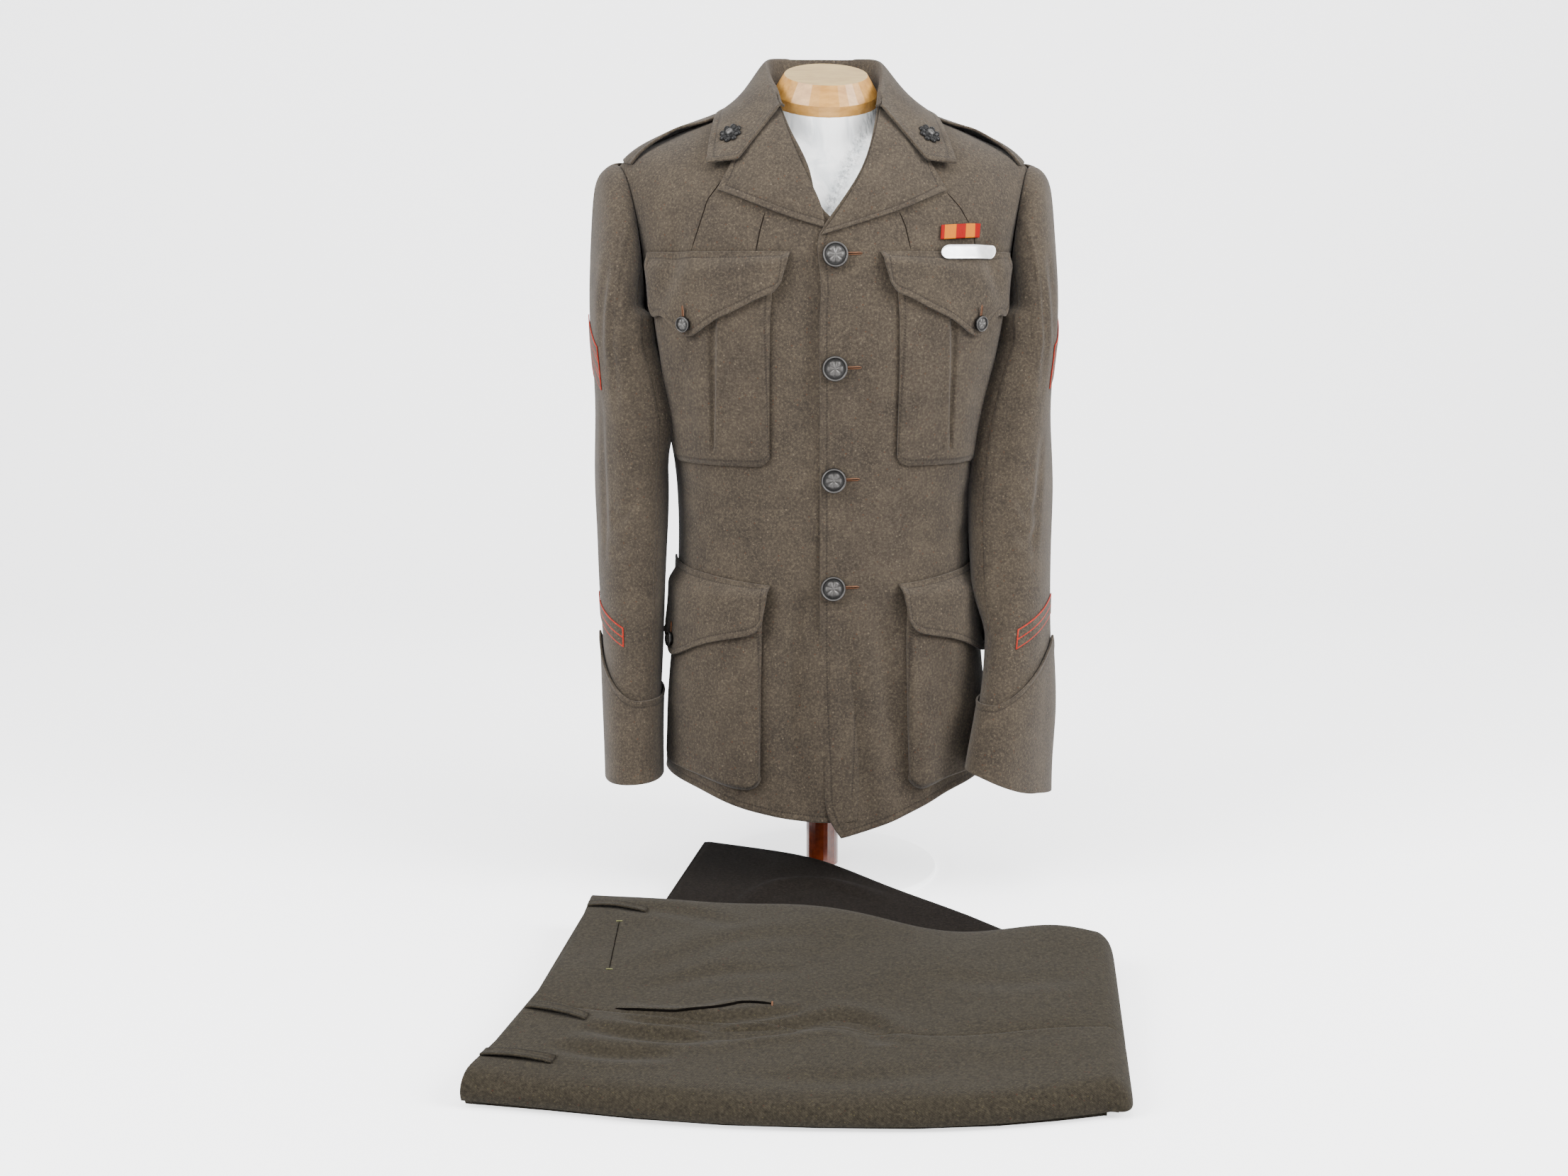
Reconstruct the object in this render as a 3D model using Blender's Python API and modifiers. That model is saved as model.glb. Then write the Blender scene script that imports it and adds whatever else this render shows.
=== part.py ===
"""Military uniform: a service coat on a limbless dress form, with its trousers folded in front.

Metres, +Z up. The front of the coat faces -Y and the wearer's left is +X.
The origin is on the floor, under the post of the stand.
"""
import math

import bmesh
import bpy
import numpy as np
from mathutils import Vector

# Cloth thickness and the gaps between pieces
COAT_WALL = 0.0020
POCKET_WALL = 0.0018
TROUSER_WALL = 0.0016
SEAM_GAP = 0.0003
LAY_GAP = 0.0006          # between a panel and what lies on it
OVERLAP_GAP = 0.0007      # between the two fronts where they overlap

# Coat body: half width, front depth and back depth of the section at each height
BODY = {
    "z":     (0.060, 0.130, 0.200, 0.290, 0.380, 0.460, 0.540, 0.600),
    "half":  (0.1700, 0.1665, 0.1625, 0.1560, 0.1520, 0.1570, 0.1720, 0.1840),
    "front": (0.1380, 0.1360, 0.1330, 0.1270, 0.1230, 0.1270, 0.1340, 0.1370),
    "back":  (0.1560, 0.1500, 0.1380, 0.1180, 0.1060, 0.1100, 0.1200, 0.1260),
}
FRONT_POWER = 2.5
BACK_POWER = 2.4
CHEST_POWER = 2.15
ARMPIT_Z = 0.600
TIP_X = 0.2150
TIP_EASE = 1.5            # how late the width grows from the armpit to the shoulder tip
NECK_X = 0.0615
RIDGE = {                 # the shoulder line, from the centre to the tip
    "x": (0.000, 0.045, 0.062, 0.090, 0.130, 0.170, 0.200, 0.2150),
    "z": (0.846, 0.838, 0.828, 0.811, 0.7935, 0.7755, 0.7600, 0.7470),
    "y": (0.030, 0.028, 0.026, 0.022, 0.016, 0.012, 0.010, 0.010),
}

# Front edges: how far each front reaches past the centre line (negative) or stops short of it
EDGE_LOW = {
    "left":  {"z": (0.075, 0.090, 0.130, 0.210, 0.330, 0.600),
              "x": (0.0085, -0.0010, -0.0080, -0.0113, -0.0125, -0.0145)},
    "right": {"z": (0.075, 0.130, 0.330, 0.600), "x": (-0.0240, -0.0270, -0.0300, -0.0300)},
}
EDGE_HIGH = {             # by the share of the way from armpit height to the shoulder line
    "left":  {"rise": (0.00, 0.20, 0.34, 0.40, 0.56, 0.77, 0.90, 1.00),
              "x": (-0.0145, -0.0145, -0.0135, -0.0040, 0.0232, 0.0420, 0.0505, NECK_X)},
    "right": {"rise": (0.00, 0.20, 0.33, 0.40, 0.58, 0.77, 0.90, 1.00),
              "x": (-0.0300, -0.0290, -0.0180, 0.0040, 0.0232, 0.0412, 0.0505, NECK_X)},
}
HEM = {                   # height of the hem by the angle from the centre front
    "left":  {"angle": (0, 6, 14, 30, 50, 90, 180),
              "z": (0.0755, 0.0810, 0.0890, 0.1060, 0.1180, 0.1240, 0.1300)},
    "right": {"angle": (0, 8, 30, 50, 90, 180), "z": (0.0930, 0.0945, 0.1070, 0.1180, 0.1240, 0.1300)},
}
ARMHOLE_IN = {"front": 0.036, "back": 0.070}     # how far the armhole cuts into the width
BACK_NECK_DROP = 19.0     # degrees that the back neckline lies below the shoulder line
SIDE_SEAM = {"front": 89.9, "back": 90.15}       # angles from the centre front at which the panels end
CENTRE_BACK = 179.88

# Lapels, collar and shoulder straps, as x and height on the wearer's left front
GORGE_TOP = (0.0500, 0.8060)
LAPEL_NOTCH = (0.0957, 0.7525)
LAPEL_TIP = (0.1110, 0.7247)
LAPEL_LOWER = (0.0540, 0.7020)
LAPEL_FOOT = {"left": (-0.0130, 0.6810), "right": (0.0135, 0.6890)}
LAPEL_CROWN = {"height": 0.0030, "from_z": 0.69, "to_z": 0.72}
ROLL = {"left": {"z": (0.681, 0.694, 0.734, 0.782, 0.806), "x": (-0.0130, -0.0030, 0.0245, 0.0435, 0.0500)},
        "right": {"z": (0.689, 0.700, 0.734, 0.782, 0.806), "x": (0.0110, 0.0115, 0.0245, 0.0435, 0.0500)}}
COLLAR = {                # guide points round the neck, from the centre back (0) to the front end (1)
    "s":      (0.0, 0.2, 0.4, 0.6, 0.8, 1.0),
    "foot":   ((0.000, 0.0550, 0.833), (0.0275, 0.0500, 0.831), (0.0475, 0.0330, 0.829),
               (0.0563, 0.0060, 0.826), (0.0505, -0.0340, 0.8170), (0.0455, -0.0690, 0.8090)),
    "roll":   ((0.000, 0.0650, 0.8665), (0.0310, 0.0600, 0.8660), (0.0545, 0.0380, 0.8635),
               (0.0600, 0.0070, 0.8535), (0.0572, -0.0320, 0.8340), (0.0500, -0.0745, 0.8105)),
    "middle": ((0.000, 0.0755, 0.845), (0.0380, 0.0700, 0.843), (0.0700, 0.0490, 0.839),
               (0.0825, 0.0070, 0.8300), (0.0835, -0.0440, 0.8120), (0.0935, -0.0990, 0.7560)),
    "edge":   ((0.000, 0.0830, 0.820), (0.0455, 0.0795, 0.8165), (0.0840, 0.0535, 0.8135),
               (0.1050, 0.0090, 0.8095), (0.1150, -0.0360, 0.7960), (0.1235, -0.0915, 0.7530)),
}
STRAP_INNER_X = 0.1076
STRAP_LEAN = -0.26        # the strap's inner end follows the collar's edge
STRAP_OUTER_X = 0.2060
STRAP_HALF = 0.0260
STRAP_TAPER = 0.0040      # the inner end is this much narrower on each side
STRAP_END_ROUND = 0.0090
STRAP_MIDDLE_Y = 0.0020
STRAP_ARCH = 0.0060
STRAP_LIFT = 0.0010

# Sleeves: each section's centre, half sizes and turn in degrees by its height, on the side of x > 0
SLEEVE = {
    "left":  {"z":    (0.100, 0.140, 0.190, 0.260, 0.340, 0.420, 0.500, 0.575),
              "x":    (0.1850, 0.1875, 0.1945, 0.2005, 0.2025, 0.2025, 0.2055, 0.2155),
              "y":    (-0.1060, -0.0985, -0.0880, -0.0640, -0.0400, -0.0220, -0.0100, -0.0030),
              "half": (0.0295, 0.0295, 0.0300, 0.0300, 0.0330, 0.0365, 0.0350, 0.0275),
              "deep": (0.0690, 0.0685, 0.0670, 0.0650, 0.0705, 0.0780, 0.0820, 0.0850),
              "turn": (38, 37, 33, 25, 19, 16, 11, 6)},
    "right": {"z":    (0.100, 0.140, 0.190, 0.260, 0.340, 0.420, 0.500, 0.575),
              "x":    (0.2030, 0.2035, 0.2040, 0.2035, 0.2035, 0.2025, 0.2060, 0.2155),
              "y":    (-0.0490, -0.0440, -0.0350, -0.0230, -0.0140, -0.0060, -0.0020, 0.0000),
              "half": (0.0280, 0.0280, 0.0290, 0.0315, 0.0350, 0.0375, 0.0350, 0.0275),
              "deep": (0.0660, 0.0655, 0.0660, 0.0690, 0.0730, 0.0770, 0.0820, 0.0850),
              "turn": (2, 2, 3, 5, 5, 6, 6, 4)},
}
SLEEVE_POWER = 2.3
ARMHOLE_GAP = 0.0016      # from the panels' outer face to the sleeve's inner one, round the armhole
ARMPIT_EASE = 0.0031      # the sleeve starts this much further out under the arm
ARMHOLE_MIDDLE = (0.130, 0.005, 0.660)
SLEEVE_TOP_Z = 0.575
SLEEVE_HEAD = {"out": 0.020, "side": 0.006, "up": 0.002, "down": 0.55}   # how far the cap's curves reach
SLEEVE_HEM = {            # height, and how much higher it is in front and on the inner side
    "left":  {"middle": 0.125, "front": 0.018, "inner": 0.010},
    "right": {"middle": 0.124, "front": 0.004, "inner": 0.002},
}
SLEEVE_SEAMS = (118.0, 250.0)   # degrees round the sleeve, from its outer side through the front
CUFF_FROM, CUFF_TO = 252.0, 609.0
CUFF_GAP = 0.0015
CUFF_RISE = 0.0004        # the cuff's edge lies this much above the sleeve's
CUFF_SQUARE = 0.212
CUFF_POINT = 0.056
CUFF_POINT_AT = -15.0
CUFF_POINT_SPREAD = 105.0
CHEVRON = {"middle": -8.0, "half": 40.0, "top": 0.602, "fall": 0.030, "height": 0.044}
SERVICE_STRIPE = {"from": -12.0, "to": 68.0, "z_from": 0.301, "z_to": 0.277, "height": 0.0195}
SLEEVE_CORE = (0.205, 0.0, 0.0)                  # a point inside the sleeves, in plan
CUFF_CORE = (0.200, -0.05, 0.0)
PATCH_WALL = 0.0010
PATCH_GAP = 0.0011

# Pockets: outlines by the angle from the centre front in degrees, and height
BREAST_FLAP = {
    "share":  (0.00, 0.06, 0.14, 0.30, 0.50, 0.66, 0.78, 0.88, 0.96, 1.00),
    "top":    (9.2, 11.5, 15.0, 23.0, 34.3, 44.0, 52.0, 59.0, 65.0, 67.5),
    "bottom": (11.6, 13.4, 16.5, 25.0, 36.5, 44.8, 52.0, 59.0, 64.5, 67.0),
    "z":      (0.6370, 0.6285, 0.6235, 0.6110, 0.5955, 0.5860, 0.5965, 0.6040, 0.6060, 0.6200),
}
BREAST_FLAP_TOP_Z = 0.6650
BREAST_BAG = {"top": (14.0, 64.0), "bottom": (18.4, 73.0), "top_z": 0.6480, "bottom_z": 0.4565,
              "corner": 0.012, "puff": 0.0030}
LOWER_FLAP = {
    "share":  (0.00, 0.06, 0.14, 0.30, 0.50, 0.64, 0.76, 0.88, 0.96, 1.00),
    "top":    (20.0, 23.5, 28.0, 37.0, 51.0, 61.5, 71.0, 81.0, 87.5, 91.0),
    "bottom": (21.6, 23.8, 28.5, 38.0, 54.0, 68.0, 74.0, 82.0, 87.5, 90.5),
    "z":      (0.3010, 0.2905, 0.2845, 0.2790, 0.2660, 0.2540, 0.2630, 0.2740, 0.2780, 0.2900),
    "top_z":  (0.3350, 0.3355, 0.3365, 0.3390, 0.3425, 0.3445, 0.3460, 0.3475, 0.3485, 0.3490),
}
LOWER_BAG = {"top": (23.5, 77.0), "bottom": (21.8, 74.0), "top_z": 0.3220, "bottom_z": 0.1250,
             "rise": 0.0140, "corner": 0.016, "puff": 0.0062}
POCKET_SHIFT = {"left": 1.0, "right": -1.0}      # degrees, so the lower pockets sit to the wearer's left
POCKET_LIFT = 0.0003
BAG_CORNER_SHARE = 0.10
BAG_CROWN = 0.25
FLAP_RISE_SHARE = 0.30    # the flap climbs onto its bag within this share of its height

# Buttons and devices
FRONT_BUTTONS_Z = (0.6620, 0.5540, 0.4430, 0.3330)
FRONT_BUTTON = {"radius": 0.0126, "height": 0.0065, "off": 0.0005}
POCKET_BUTTON = {"radius": 0.0079, "height": 0.0045, "off": 0.0008}
BREAST_BUTTON = (44.8, 0.5975)
LOWER_BUTTON = (70.0, 0.2690)
DEVICE_R = 0.0125
DEVICE_AT = (0.0975, 0.7790)
DEVICE_OFF = 0.0008
RIBBON = {"from": 28.0, "to": 44.0, "z": 0.6850, "height": 0.0115, "off": 0.0002, "wall": 0.0022, "taper": 0.0}
BADGE = {"from": 27.8, "to": 54.0, "z": 0.6650, "height": 0.0125, "off": 0.0044, "wall": 0.0012, "taper": 0.45}
BAR_BEND = 0.0008         # both bars stand off a little more in the middle

# Dress form and stand
FORM_IN = {"side": 0.012, "front": 0.009, "back": 0.010, "shoulder": 0.0012}
FORM_TIP_X = 0.186
FORM_TIP_DROP = 0.010
FORM_NECK_DROP = 0.052     # the shoulder line dips here, inside the neck
FORM_BOTTOM_Z = 0.170
NECK_R = 0.0480
NECK_Y = -0.0040
NECK_TILT = 20.0
NECK_TOP_Z = 0.8160
NECK_LONG = 0.130
CAP_R = 0.0536
CAP_FACE_R = 0.0425
CAP_H = 0.0290
CAP_SIDE_H = 0.0105
POST_R = 0.0175
BASE_R = 0.125
BASE_H = 0.005
BASE_EDGE = 0.0012

# Folded trousers, in plan: the top ply's far and near edges from the waist (0) to the knee fold (1)
TOP = {
    "u":      (0.0, 0.15, 0.30, 0.45, 0.60, 0.75, 0.90, 1.0),
    "far_x":  (-0.2415, -0.1720, -0.0990, -0.0260, 0.0440, 0.1140, 0.1900, 0.2300),
    "far_y":  (-0.1960, -0.2170, -0.2285, -0.2410, -0.2830, -0.3150, -0.3120, -0.3260),
    "near_x": (-0.3290, -0.2590, -0.1850, -0.1080, -0.0310, 0.0480, 0.1290, 0.1770),
    "near_y": (-0.5790, -0.5960, -0.6160, -0.6310, -0.6390, -0.6430, -0.6360, -0.6270),
    "far_z":  (0.0440, 0.0450, 0.0450, 0.0450, 0.0430, 0.0430, 0.0460, 0.0430),
    "near_z": (0.0270, 0.0250, 0.0240, 0.0230, 0.0230, 0.0240, 0.0260, 0.0270),
}
WAIST_BOW = 0.016         # the waist edge curves in between its corners
KNEE_ROUND = 0.016
STACK_LONG = 0.40          # about how far the stack reaches across, for shares of it
PLIES = 4
PLY_BULGE = 0.0018
LAYERS_IN = 0.0015         # the layers under the top ply stand this much further in
LAYERS_DOWN = 0.0014
LAYERS_END = {"u": 0.99, "back": 0.008}
KNEE_RINGS = ((0.006, 0.93), (0.0105, 0.72))     # reach past the fold and share of the height
TOP_SEAM = 0.66           # the side seam lies this far across, from the far edge
LEG = {                   # the lower legs, from the hem to where they go under the stack
    "s":      (0.0, 0.2, 0.4, 0.6, 0.8, 1.0),
    "far_x":  (-0.1274, -0.0640, -0.0010, 0.0620, 0.1300, 0.1780),
    "far_y":  (0.0488, 0.0170, -0.0285, -0.1160, -0.2060, -0.2860),
    "near_x": (-0.1840, -0.1240, -0.0560, 0.0180, 0.0900, 0.1500),
    "near_y": (-0.2060, -0.2190, -0.2300, -0.2640, -0.3040, -0.3180),
}
LEG_THICK = 0.0165
BELT_LOOPS = ({"across": 0.10, "lean": 0.010}, {"across": 0.675, "lean": 0.030},
              {"across": 0.905, "lean": 0.000})
LOOP_LONG = 0.125         # share of the trousers' length
LOOP_WIDE = 0.0115
LOOP_ARCH = 0.0026
UNDER_STACK = (-0.05, -0.42, -0.5)

COLOURS = {               # sRGB colour, roughness, metallic
    "coat wool": ("5C5145", 0.95, 0.0),
    "trouser serge": ("4B463D", 0.92, 0.0),
    "bronze": ("3A3835", 0.45, 0.8),
    "red felt": ("B04A38", 0.95, 0.0),
    "ribbon": ("C9914E", 0.85, 0.0),
    "silver": ("D9D9DB", 0.35, 1.0),
    "jersey": ("DDDFE0", 0.85, 0.0),
    "pale wood": ("D8A96A", 0.45, 0.0),
    "red varnish": ("7E3A20", 0.30, 0.0),
    "white steel": ("E9EAEA", 0.45, 0.0),
}


def linear(channel):
    return channel / 12.92 if channel <= 0.04045 else ((channel + 0.055) / 1.055) ** 2.4


def material(name):
    """The named finish, made once."""
    if name in bpy.data.materials:
        return bpy.data.materials[name]
    colour, roughness, metallic = COLOURS[name]
    made = bpy.data.materials.new(name)
    made.use_nodes = True
    shader = made.node_tree.nodes["Principled BSDF"]
    rgb = [linear(int(colour[i:i + 2], 16) / 255) for i in (0, 2, 4)]
    shader.inputs["Base Color"].default_value = (*rgb, 1.0)
    shader.inputs["Roughness"].default_value = roughness
    shader.inputs["Metallic"].default_value = metallic
    return made


def spline(xs, ys, at):
    """Natural cubic spline through the points, held at its ends."""
    xs, ys, at = np.asarray(xs, float), np.asarray(ys, float), np.asarray(at, float)
    count = len(xs)
    step = np.diff(xs)
    matrix, right = np.zeros((count, count)), np.zeros(count)
    matrix[0, 0] = matrix[-1, -1] = 1
    for i in range(1, count - 1):
        matrix[i, i - 1:i + 2] = step[i - 1], 2 * (step[i - 1] + step[i]), step[i]
        right[i] = 6 * ((ys[i + 1] - ys[i]) / step[i] - (ys[i] - ys[i - 1]) / step[i - 1])
    bend = np.linalg.solve(matrix, right)
    t = np.clip(at, xs[0], xs[-1])
    i = np.clip(np.searchsorted(xs, t, side="right") - 1, 0, count - 2)
    low, high, width = xs[i + 1] - t, t - xs[i], step[i]
    curve = (bend[i] * low ** 3 + bend[i + 1] * high ** 3) / (6 * width)
    curve = curve + (ys[i] / width - bend[i] * width / 6) * low
    return curve + (ys[i + 1] / width - bend[i + 1] * width / 6) * high


def smooth(low, high, value):
    """Rises softly from 0 at low to 1 at high."""
    t = np.clip((np.asarray(value, float) - low) / (high - low), 0, 1)
    return t * t * (3 - 2 * t)


def signed_power(value, power):
    return np.sign(value) * np.abs(value) ** power


def section(z):
    """Half width, front depth and back depth of the coat at a height."""
    return [spline(BODY["z"], BODY[key], np.minimum(z, ARMPIT_Z)) for key in ("half", "front", "back")]


def shoulder_width(rise):
    """Half width at a share of the way from the armpit height to the shoulder line."""
    half = float(section(ARMPIT_Z)[0])
    return half + (TIP_X - half) * np.clip(rise, 0, 1) ** TIP_EASE


def body(angle, z):
    """Point of the coat's inner surface by the angle from the centre front, in degrees, and height."""
    angle, z = np.broadcast_arrays(np.asarray(angle, float), np.asarray(z, float))
    turn = np.radians(angle)
    half, front, back = section(z)
    ahead = np.cos(turn) >= 0
    power = np.where(ahead, FRONT_POWER, BACK_POWER)
    share = signed_power(np.sin(turn), 2 / power)
    depth = -np.where(ahead, front, -back) * np.abs(np.cos(turn)) ** (2 / power)
    rise = np.zeros_like(z)
    width = half
    for _ in range(8):
        x = np.abs(share) * width
        line = spline(RIDGE["x"], RIDGE["z"], x)
        rise = np.clip((z - ARMPIT_Z) / (line - ARMPIT_Z), 0, 1)
        width = np.where(z > ARMPIT_Z, shoulder_width(rise), half)
    ridge_y = spline(RIDGE["x"], RIDGE["y"], np.abs(share) * width)
    bend = np.maximum(1 - rise ** CHEST_POWER, 0) ** (1 / CHEST_POWER)
    y = np.where(z > ARMPIT_Z, ridge_y + (depth - ridge_y) * bend, depth)
    return np.stack([share * width, y, z], -1)


def outward(angle, z):
    """Unit normal of the coat's surface."""
    step_a, step_z = 0.4, 0.0015
    across = body(angle + step_a, z) - body(angle - step_a, z)
    up = body(angle, z + step_z) - body(angle, z - step_z)
    normal = np.cross(across, up)
    return normal / np.maximum(np.linalg.norm(normal, axis=-1, keepdims=True), 1e-9)


def moved_out(angle, z, out):
    return body(angle, z) + outward(angle, z) * np.asarray(out, float)[..., None]


def angle_at(x, z):
    """Angle from the centre front, in degrees, of a point of the front given by x and height."""
    x, z = np.broadcast_arrays(np.asarray(x, float), np.asarray(z, float))
    line = spline(RIDGE["x"], RIDGE["z"], np.abs(x))
    rise = np.clip((z - ARMPIT_Z) / (line - ARMPIT_Z), 0, 1)
    width = np.where(z > ARMPIT_Z, shoulder_width(rise), section(z)[0])
    share = np.clip(np.abs(x) / width, 0, 1)
    return np.sign(x) * np.degrees(np.arcsin(share ** (FRONT_POWER / 2)))


def overlap_lift(x, z):
    """The wearer's left front lies on the right one near the centre line."""
    return (COAT_WALL + OVERLAP_GAP) * (1 - smooth(0.036, 0.078, x)) * (1 - smooth(0.715, 0.760, z))


def armhole_share(rise_turn, face):
    """Share of the half width at which the armhole runs, by the share of the way to the shoulder line."""
    return 1 - ARMHOLE_IN[face] * np.abs(np.sin(math.pi * np.clip(rise_turn, 0, 1))) ** 0.7


def high_point(share, turn, face):
    """Point of the chest or back above the armpit: turn is 0 at armpit height and 90 on the shoulder line."""
    rise = np.sin(np.radians(turn)) ** (2 / CHEST_POWER)
    x = share * shoulder_width(rise)
    depth = section(ARMPIT_Z)[1 if face == "front" else 2]
    power = FRONT_POWER if face == "front" else BACK_POWER
    flat = depth * np.maximum(1 - np.abs(share) ** power, 0) ** (1 / power)
    ridge_y = spline(RIDGE["x"], RIDGE["y"], np.abs(x))
    ridge_z = spline(RIDGE["x"], RIDGE["z"], np.abs(x))
    bend = np.cos(np.radians(turn)) ** (2 / CHEST_POWER)
    y = ridge_y + ((-flat if face == "front" else flat) - ridge_y) * bend
    return np.stack([x, y, ARMPIT_Z + rise * (ridge_z - ARMPIT_Z)], -1)


def surface_normals(points):
    """Normals of a grid of points by its own steps."""
    normal = np.cross(np.gradient(points, axis=0), np.gradient(points, axis=1))
    return normal / np.maximum(np.linalg.norm(normal, axis=-1, keepdims=True), 1e-9)


def front_panel(side, columns, low_rows, high_rows):
    """Inner surface of one front: a grid from its front edge to the side seam, and from hem to shoulder."""
    across = np.linspace(0, 1, columns)[:, None]
    up = np.linspace(0, 1, low_rows)[None, :]
    foot_z = EDGE_LOW[side]["z"][0]
    edge_z = foot_z + up * (ARMPIT_Z - foot_z)
    start = angle_at(spline(EDGE_LOW[side]["z"], EDGE_LOW[side]["x"], edge_z), edge_z)
    angle = start + (SIDE_SEAM["front"] - start) * across
    hem = spline(HEM[side]["angle"], HEM[side]["z"], np.abs(angle[:, :1]))
    z = hem + (ARMPIT_Z - hem) * up
    low = body(angle, z)
    turn = np.linspace(0, 90.0, high_rows + 1)[None, 1:]
    turn[0, -1] = 89.85
    rise = np.sin(np.radians(turn)) ** (2 / CHEST_POWER)
    first = spline(EDGE_HIGH[side]["rise"], EDGE_HIGH[side]["x"], rise) / shoulder_width(rise)
    last = armhole_share(turn / 90.0, "front")
    first_angle = np.arcsin(signed_power(first, FRONT_POWER / 2))
    last_angle = np.arcsin(np.clip(last, 0, 1) ** (FRONT_POWER / 2)) - math.radians(0.1)
    angle = first_angle + (last_angle - first_angle) * across
    share = signed_power(np.sin(angle), 2 / FRONT_POWER)
    high = high_point(share, np.broadcast_to(turn, angle.shape), "front")
    points = np.concatenate([low, high], axis=1)
    if side == "left":
        lift = overlap_lift(points[..., 0], points[..., 2])
        points = points + away(surface_normals(points), points) * lift[..., None]
    return points


def away(normals, points):
    """Turns normals away from the upright axis of the body."""
    sign = np.sign(np.mean(normals[..., 0] * points[..., 0] + normals[..., 1] * points[..., 1]))
    return normals * sign


def back_panel(columns, low_rows, high_rows):
    """Inner surface of one back, from the centre seam to the side seam."""
    across = np.linspace(0, 1, columns)[:, None]
    up = np.linspace(0, 1, low_rows)[None, :]
    angle = CENTRE_BACK - (CENTRE_BACK - SIDE_SEAM["back"]) * across
    hem = spline(HEM["left"]["angle"], HEM["left"]["z"], angle)
    low = body(angle + 0 * up, hem + (ARMPIT_Z - hem) * up)
    climb = np.linspace(0, 1, high_rows + 1)[None, 1:]
    last = armhole_share(climb, "back")
    last_angle = np.arcsin(np.clip(last, 0, 1) ** (BACK_POWER / 2)) - math.radians(0.15)
    share = np.sin(math.radians(0.12) + (last_angle - math.radians(0.12)) * across) ** (2 / BACK_POWER)
    x = share * TIP_X
    turn = climb * (89.85 - BACK_NECK_DROP * np.sqrt(np.maximum(1 - (x / NECK_X) ** 2, 0)))
    return np.concatenate([low, high_point(share, turn, "back")], axis=1)


def mirrored(points):
    return points * np.array([-1.0, 1.0, 1.0])


def add_object(name, mesh, finish):
    made = bpy.data.objects.new(name, mesh)
    bpy.data.collections["military_uniform"].objects.link(made)
    mesh.materials.append(material(finish))
    mesh.shade_smooth()
    return made


def grid_faces(rows, columns, closed):
    """Quads of a grid of points, closed round its first direction if asked."""
    faces = []
    for i in range(rows if closed else rows - 1):
        for j in range(columns - 1):
            a, b = i * columns + j, ((i + 1) % rows) * columns + j
            faces.append((a, b, b + 1, a + 1))
    return faces


def shell(name, points, wall, finish, core, grow=1.0):
    """A sheet of cloth: a grid of points given a thickness, away from the core or towards it."""
    rows, columns = points.shape[:2]
    normals = surface_normals(points)
    facing = np.mean(np.sum(normals * (points - np.asarray(core, float)), axis=-1))
    faces = grid_faces(rows, columns, False)
    if facing < 0:
        faces = [face[::-1] for face in faces]
    mesh = bpy.data.meshes.new(name)
    mesh.from_pydata(points.reshape(-1, 3).tolist(), [], faces)
    made = add_object(name, mesh, finish)
    solidify = made.modifiers.new("cloth", "SOLIDIFY")
    solidify.thickness = wall
    solidify.offset = grow
    solidify.use_quality_normals = True
    return made


def loft(name, rings, finish, capped=(0, -1)):
    """A closed solid through a row of closed rings, with a cap on the named end rings."""
    rows, around = rings.shape[:2]
    vertices = rings.reshape(-1, 3).tolist()
    faces = [tuple(reversed(face)) for face in grid_faces(rows, around, False)]
    faces += [(i * around, i * around + around - 1, (i + 1) * around + around - 1, (i + 1) * around)
              for i in range(rows - 1)]
    for row in (end % rows for end in capped):
        centre = len(vertices)
        vertices.append(rings[row].mean(axis=0).tolist())
        for j in range(around):
            a, b = row * around + j, row * around + (j + 1) % around
            faces.append((a, b, centre))
    mesh = bpy.data.meshes.new(name)
    mesh.from_pydata(vertices, [], faces)
    working = bmesh.new()
    working.from_mesh(mesh)
    bmesh.ops.remove_doubles(working, verts=working.verts, dist=0.00001)
    bmesh.ops.recalc_face_normals(working, faces=working.faces)
    working.to_mesh(mesh)
    working.free()
    made = add_object(name, mesh, finish)
    mesh.set_sharp_from_angle(angle=math.radians(40))
    return made


def turned(name, profile, finish, place, axis=(0, 0, 1), steps=16):
    """A turned solid: a profile of radius and height, from the top of the axis down to its bottom."""
    mesh = bpy.data.meshes.new(name)
    mesh.from_pydata([(r, 0, h) for r, h in profile], [(i, i + 1) for i in range(len(profile) - 1)], [])
    made = add_object(name, mesh, finish)
    screw = made.modifiers.new("turn", "SCREW")
    screw.steps = screw.render_steps = steps
    screw.use_merge_vertices = True
    screw.merge_threshold = 0.00001
    made.location = place
    made.rotation_mode = "QUATERNION"
    made.rotation_quaternion = Vector(axis).to_track_quat("Z", "Y")
    return made


def build_fronts_and_backs():
    for side in ("left", "right"):
        points = front_panel(side, 13, 11, 8)
        back = back_panel(10, 10, 7)
        if side == "right":
            points, back = mirrored(points), mirrored(back)
        core = points * np.array([0.0, 0.0, 1.0])
        shell("coat_front_" + side, points, COAT_WALL, "coat wool", core)
        shell("coat_back_" + side, back, COAT_WALL, "coat wool", back * np.array([0.0, 0.0, 1.0]))


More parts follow.
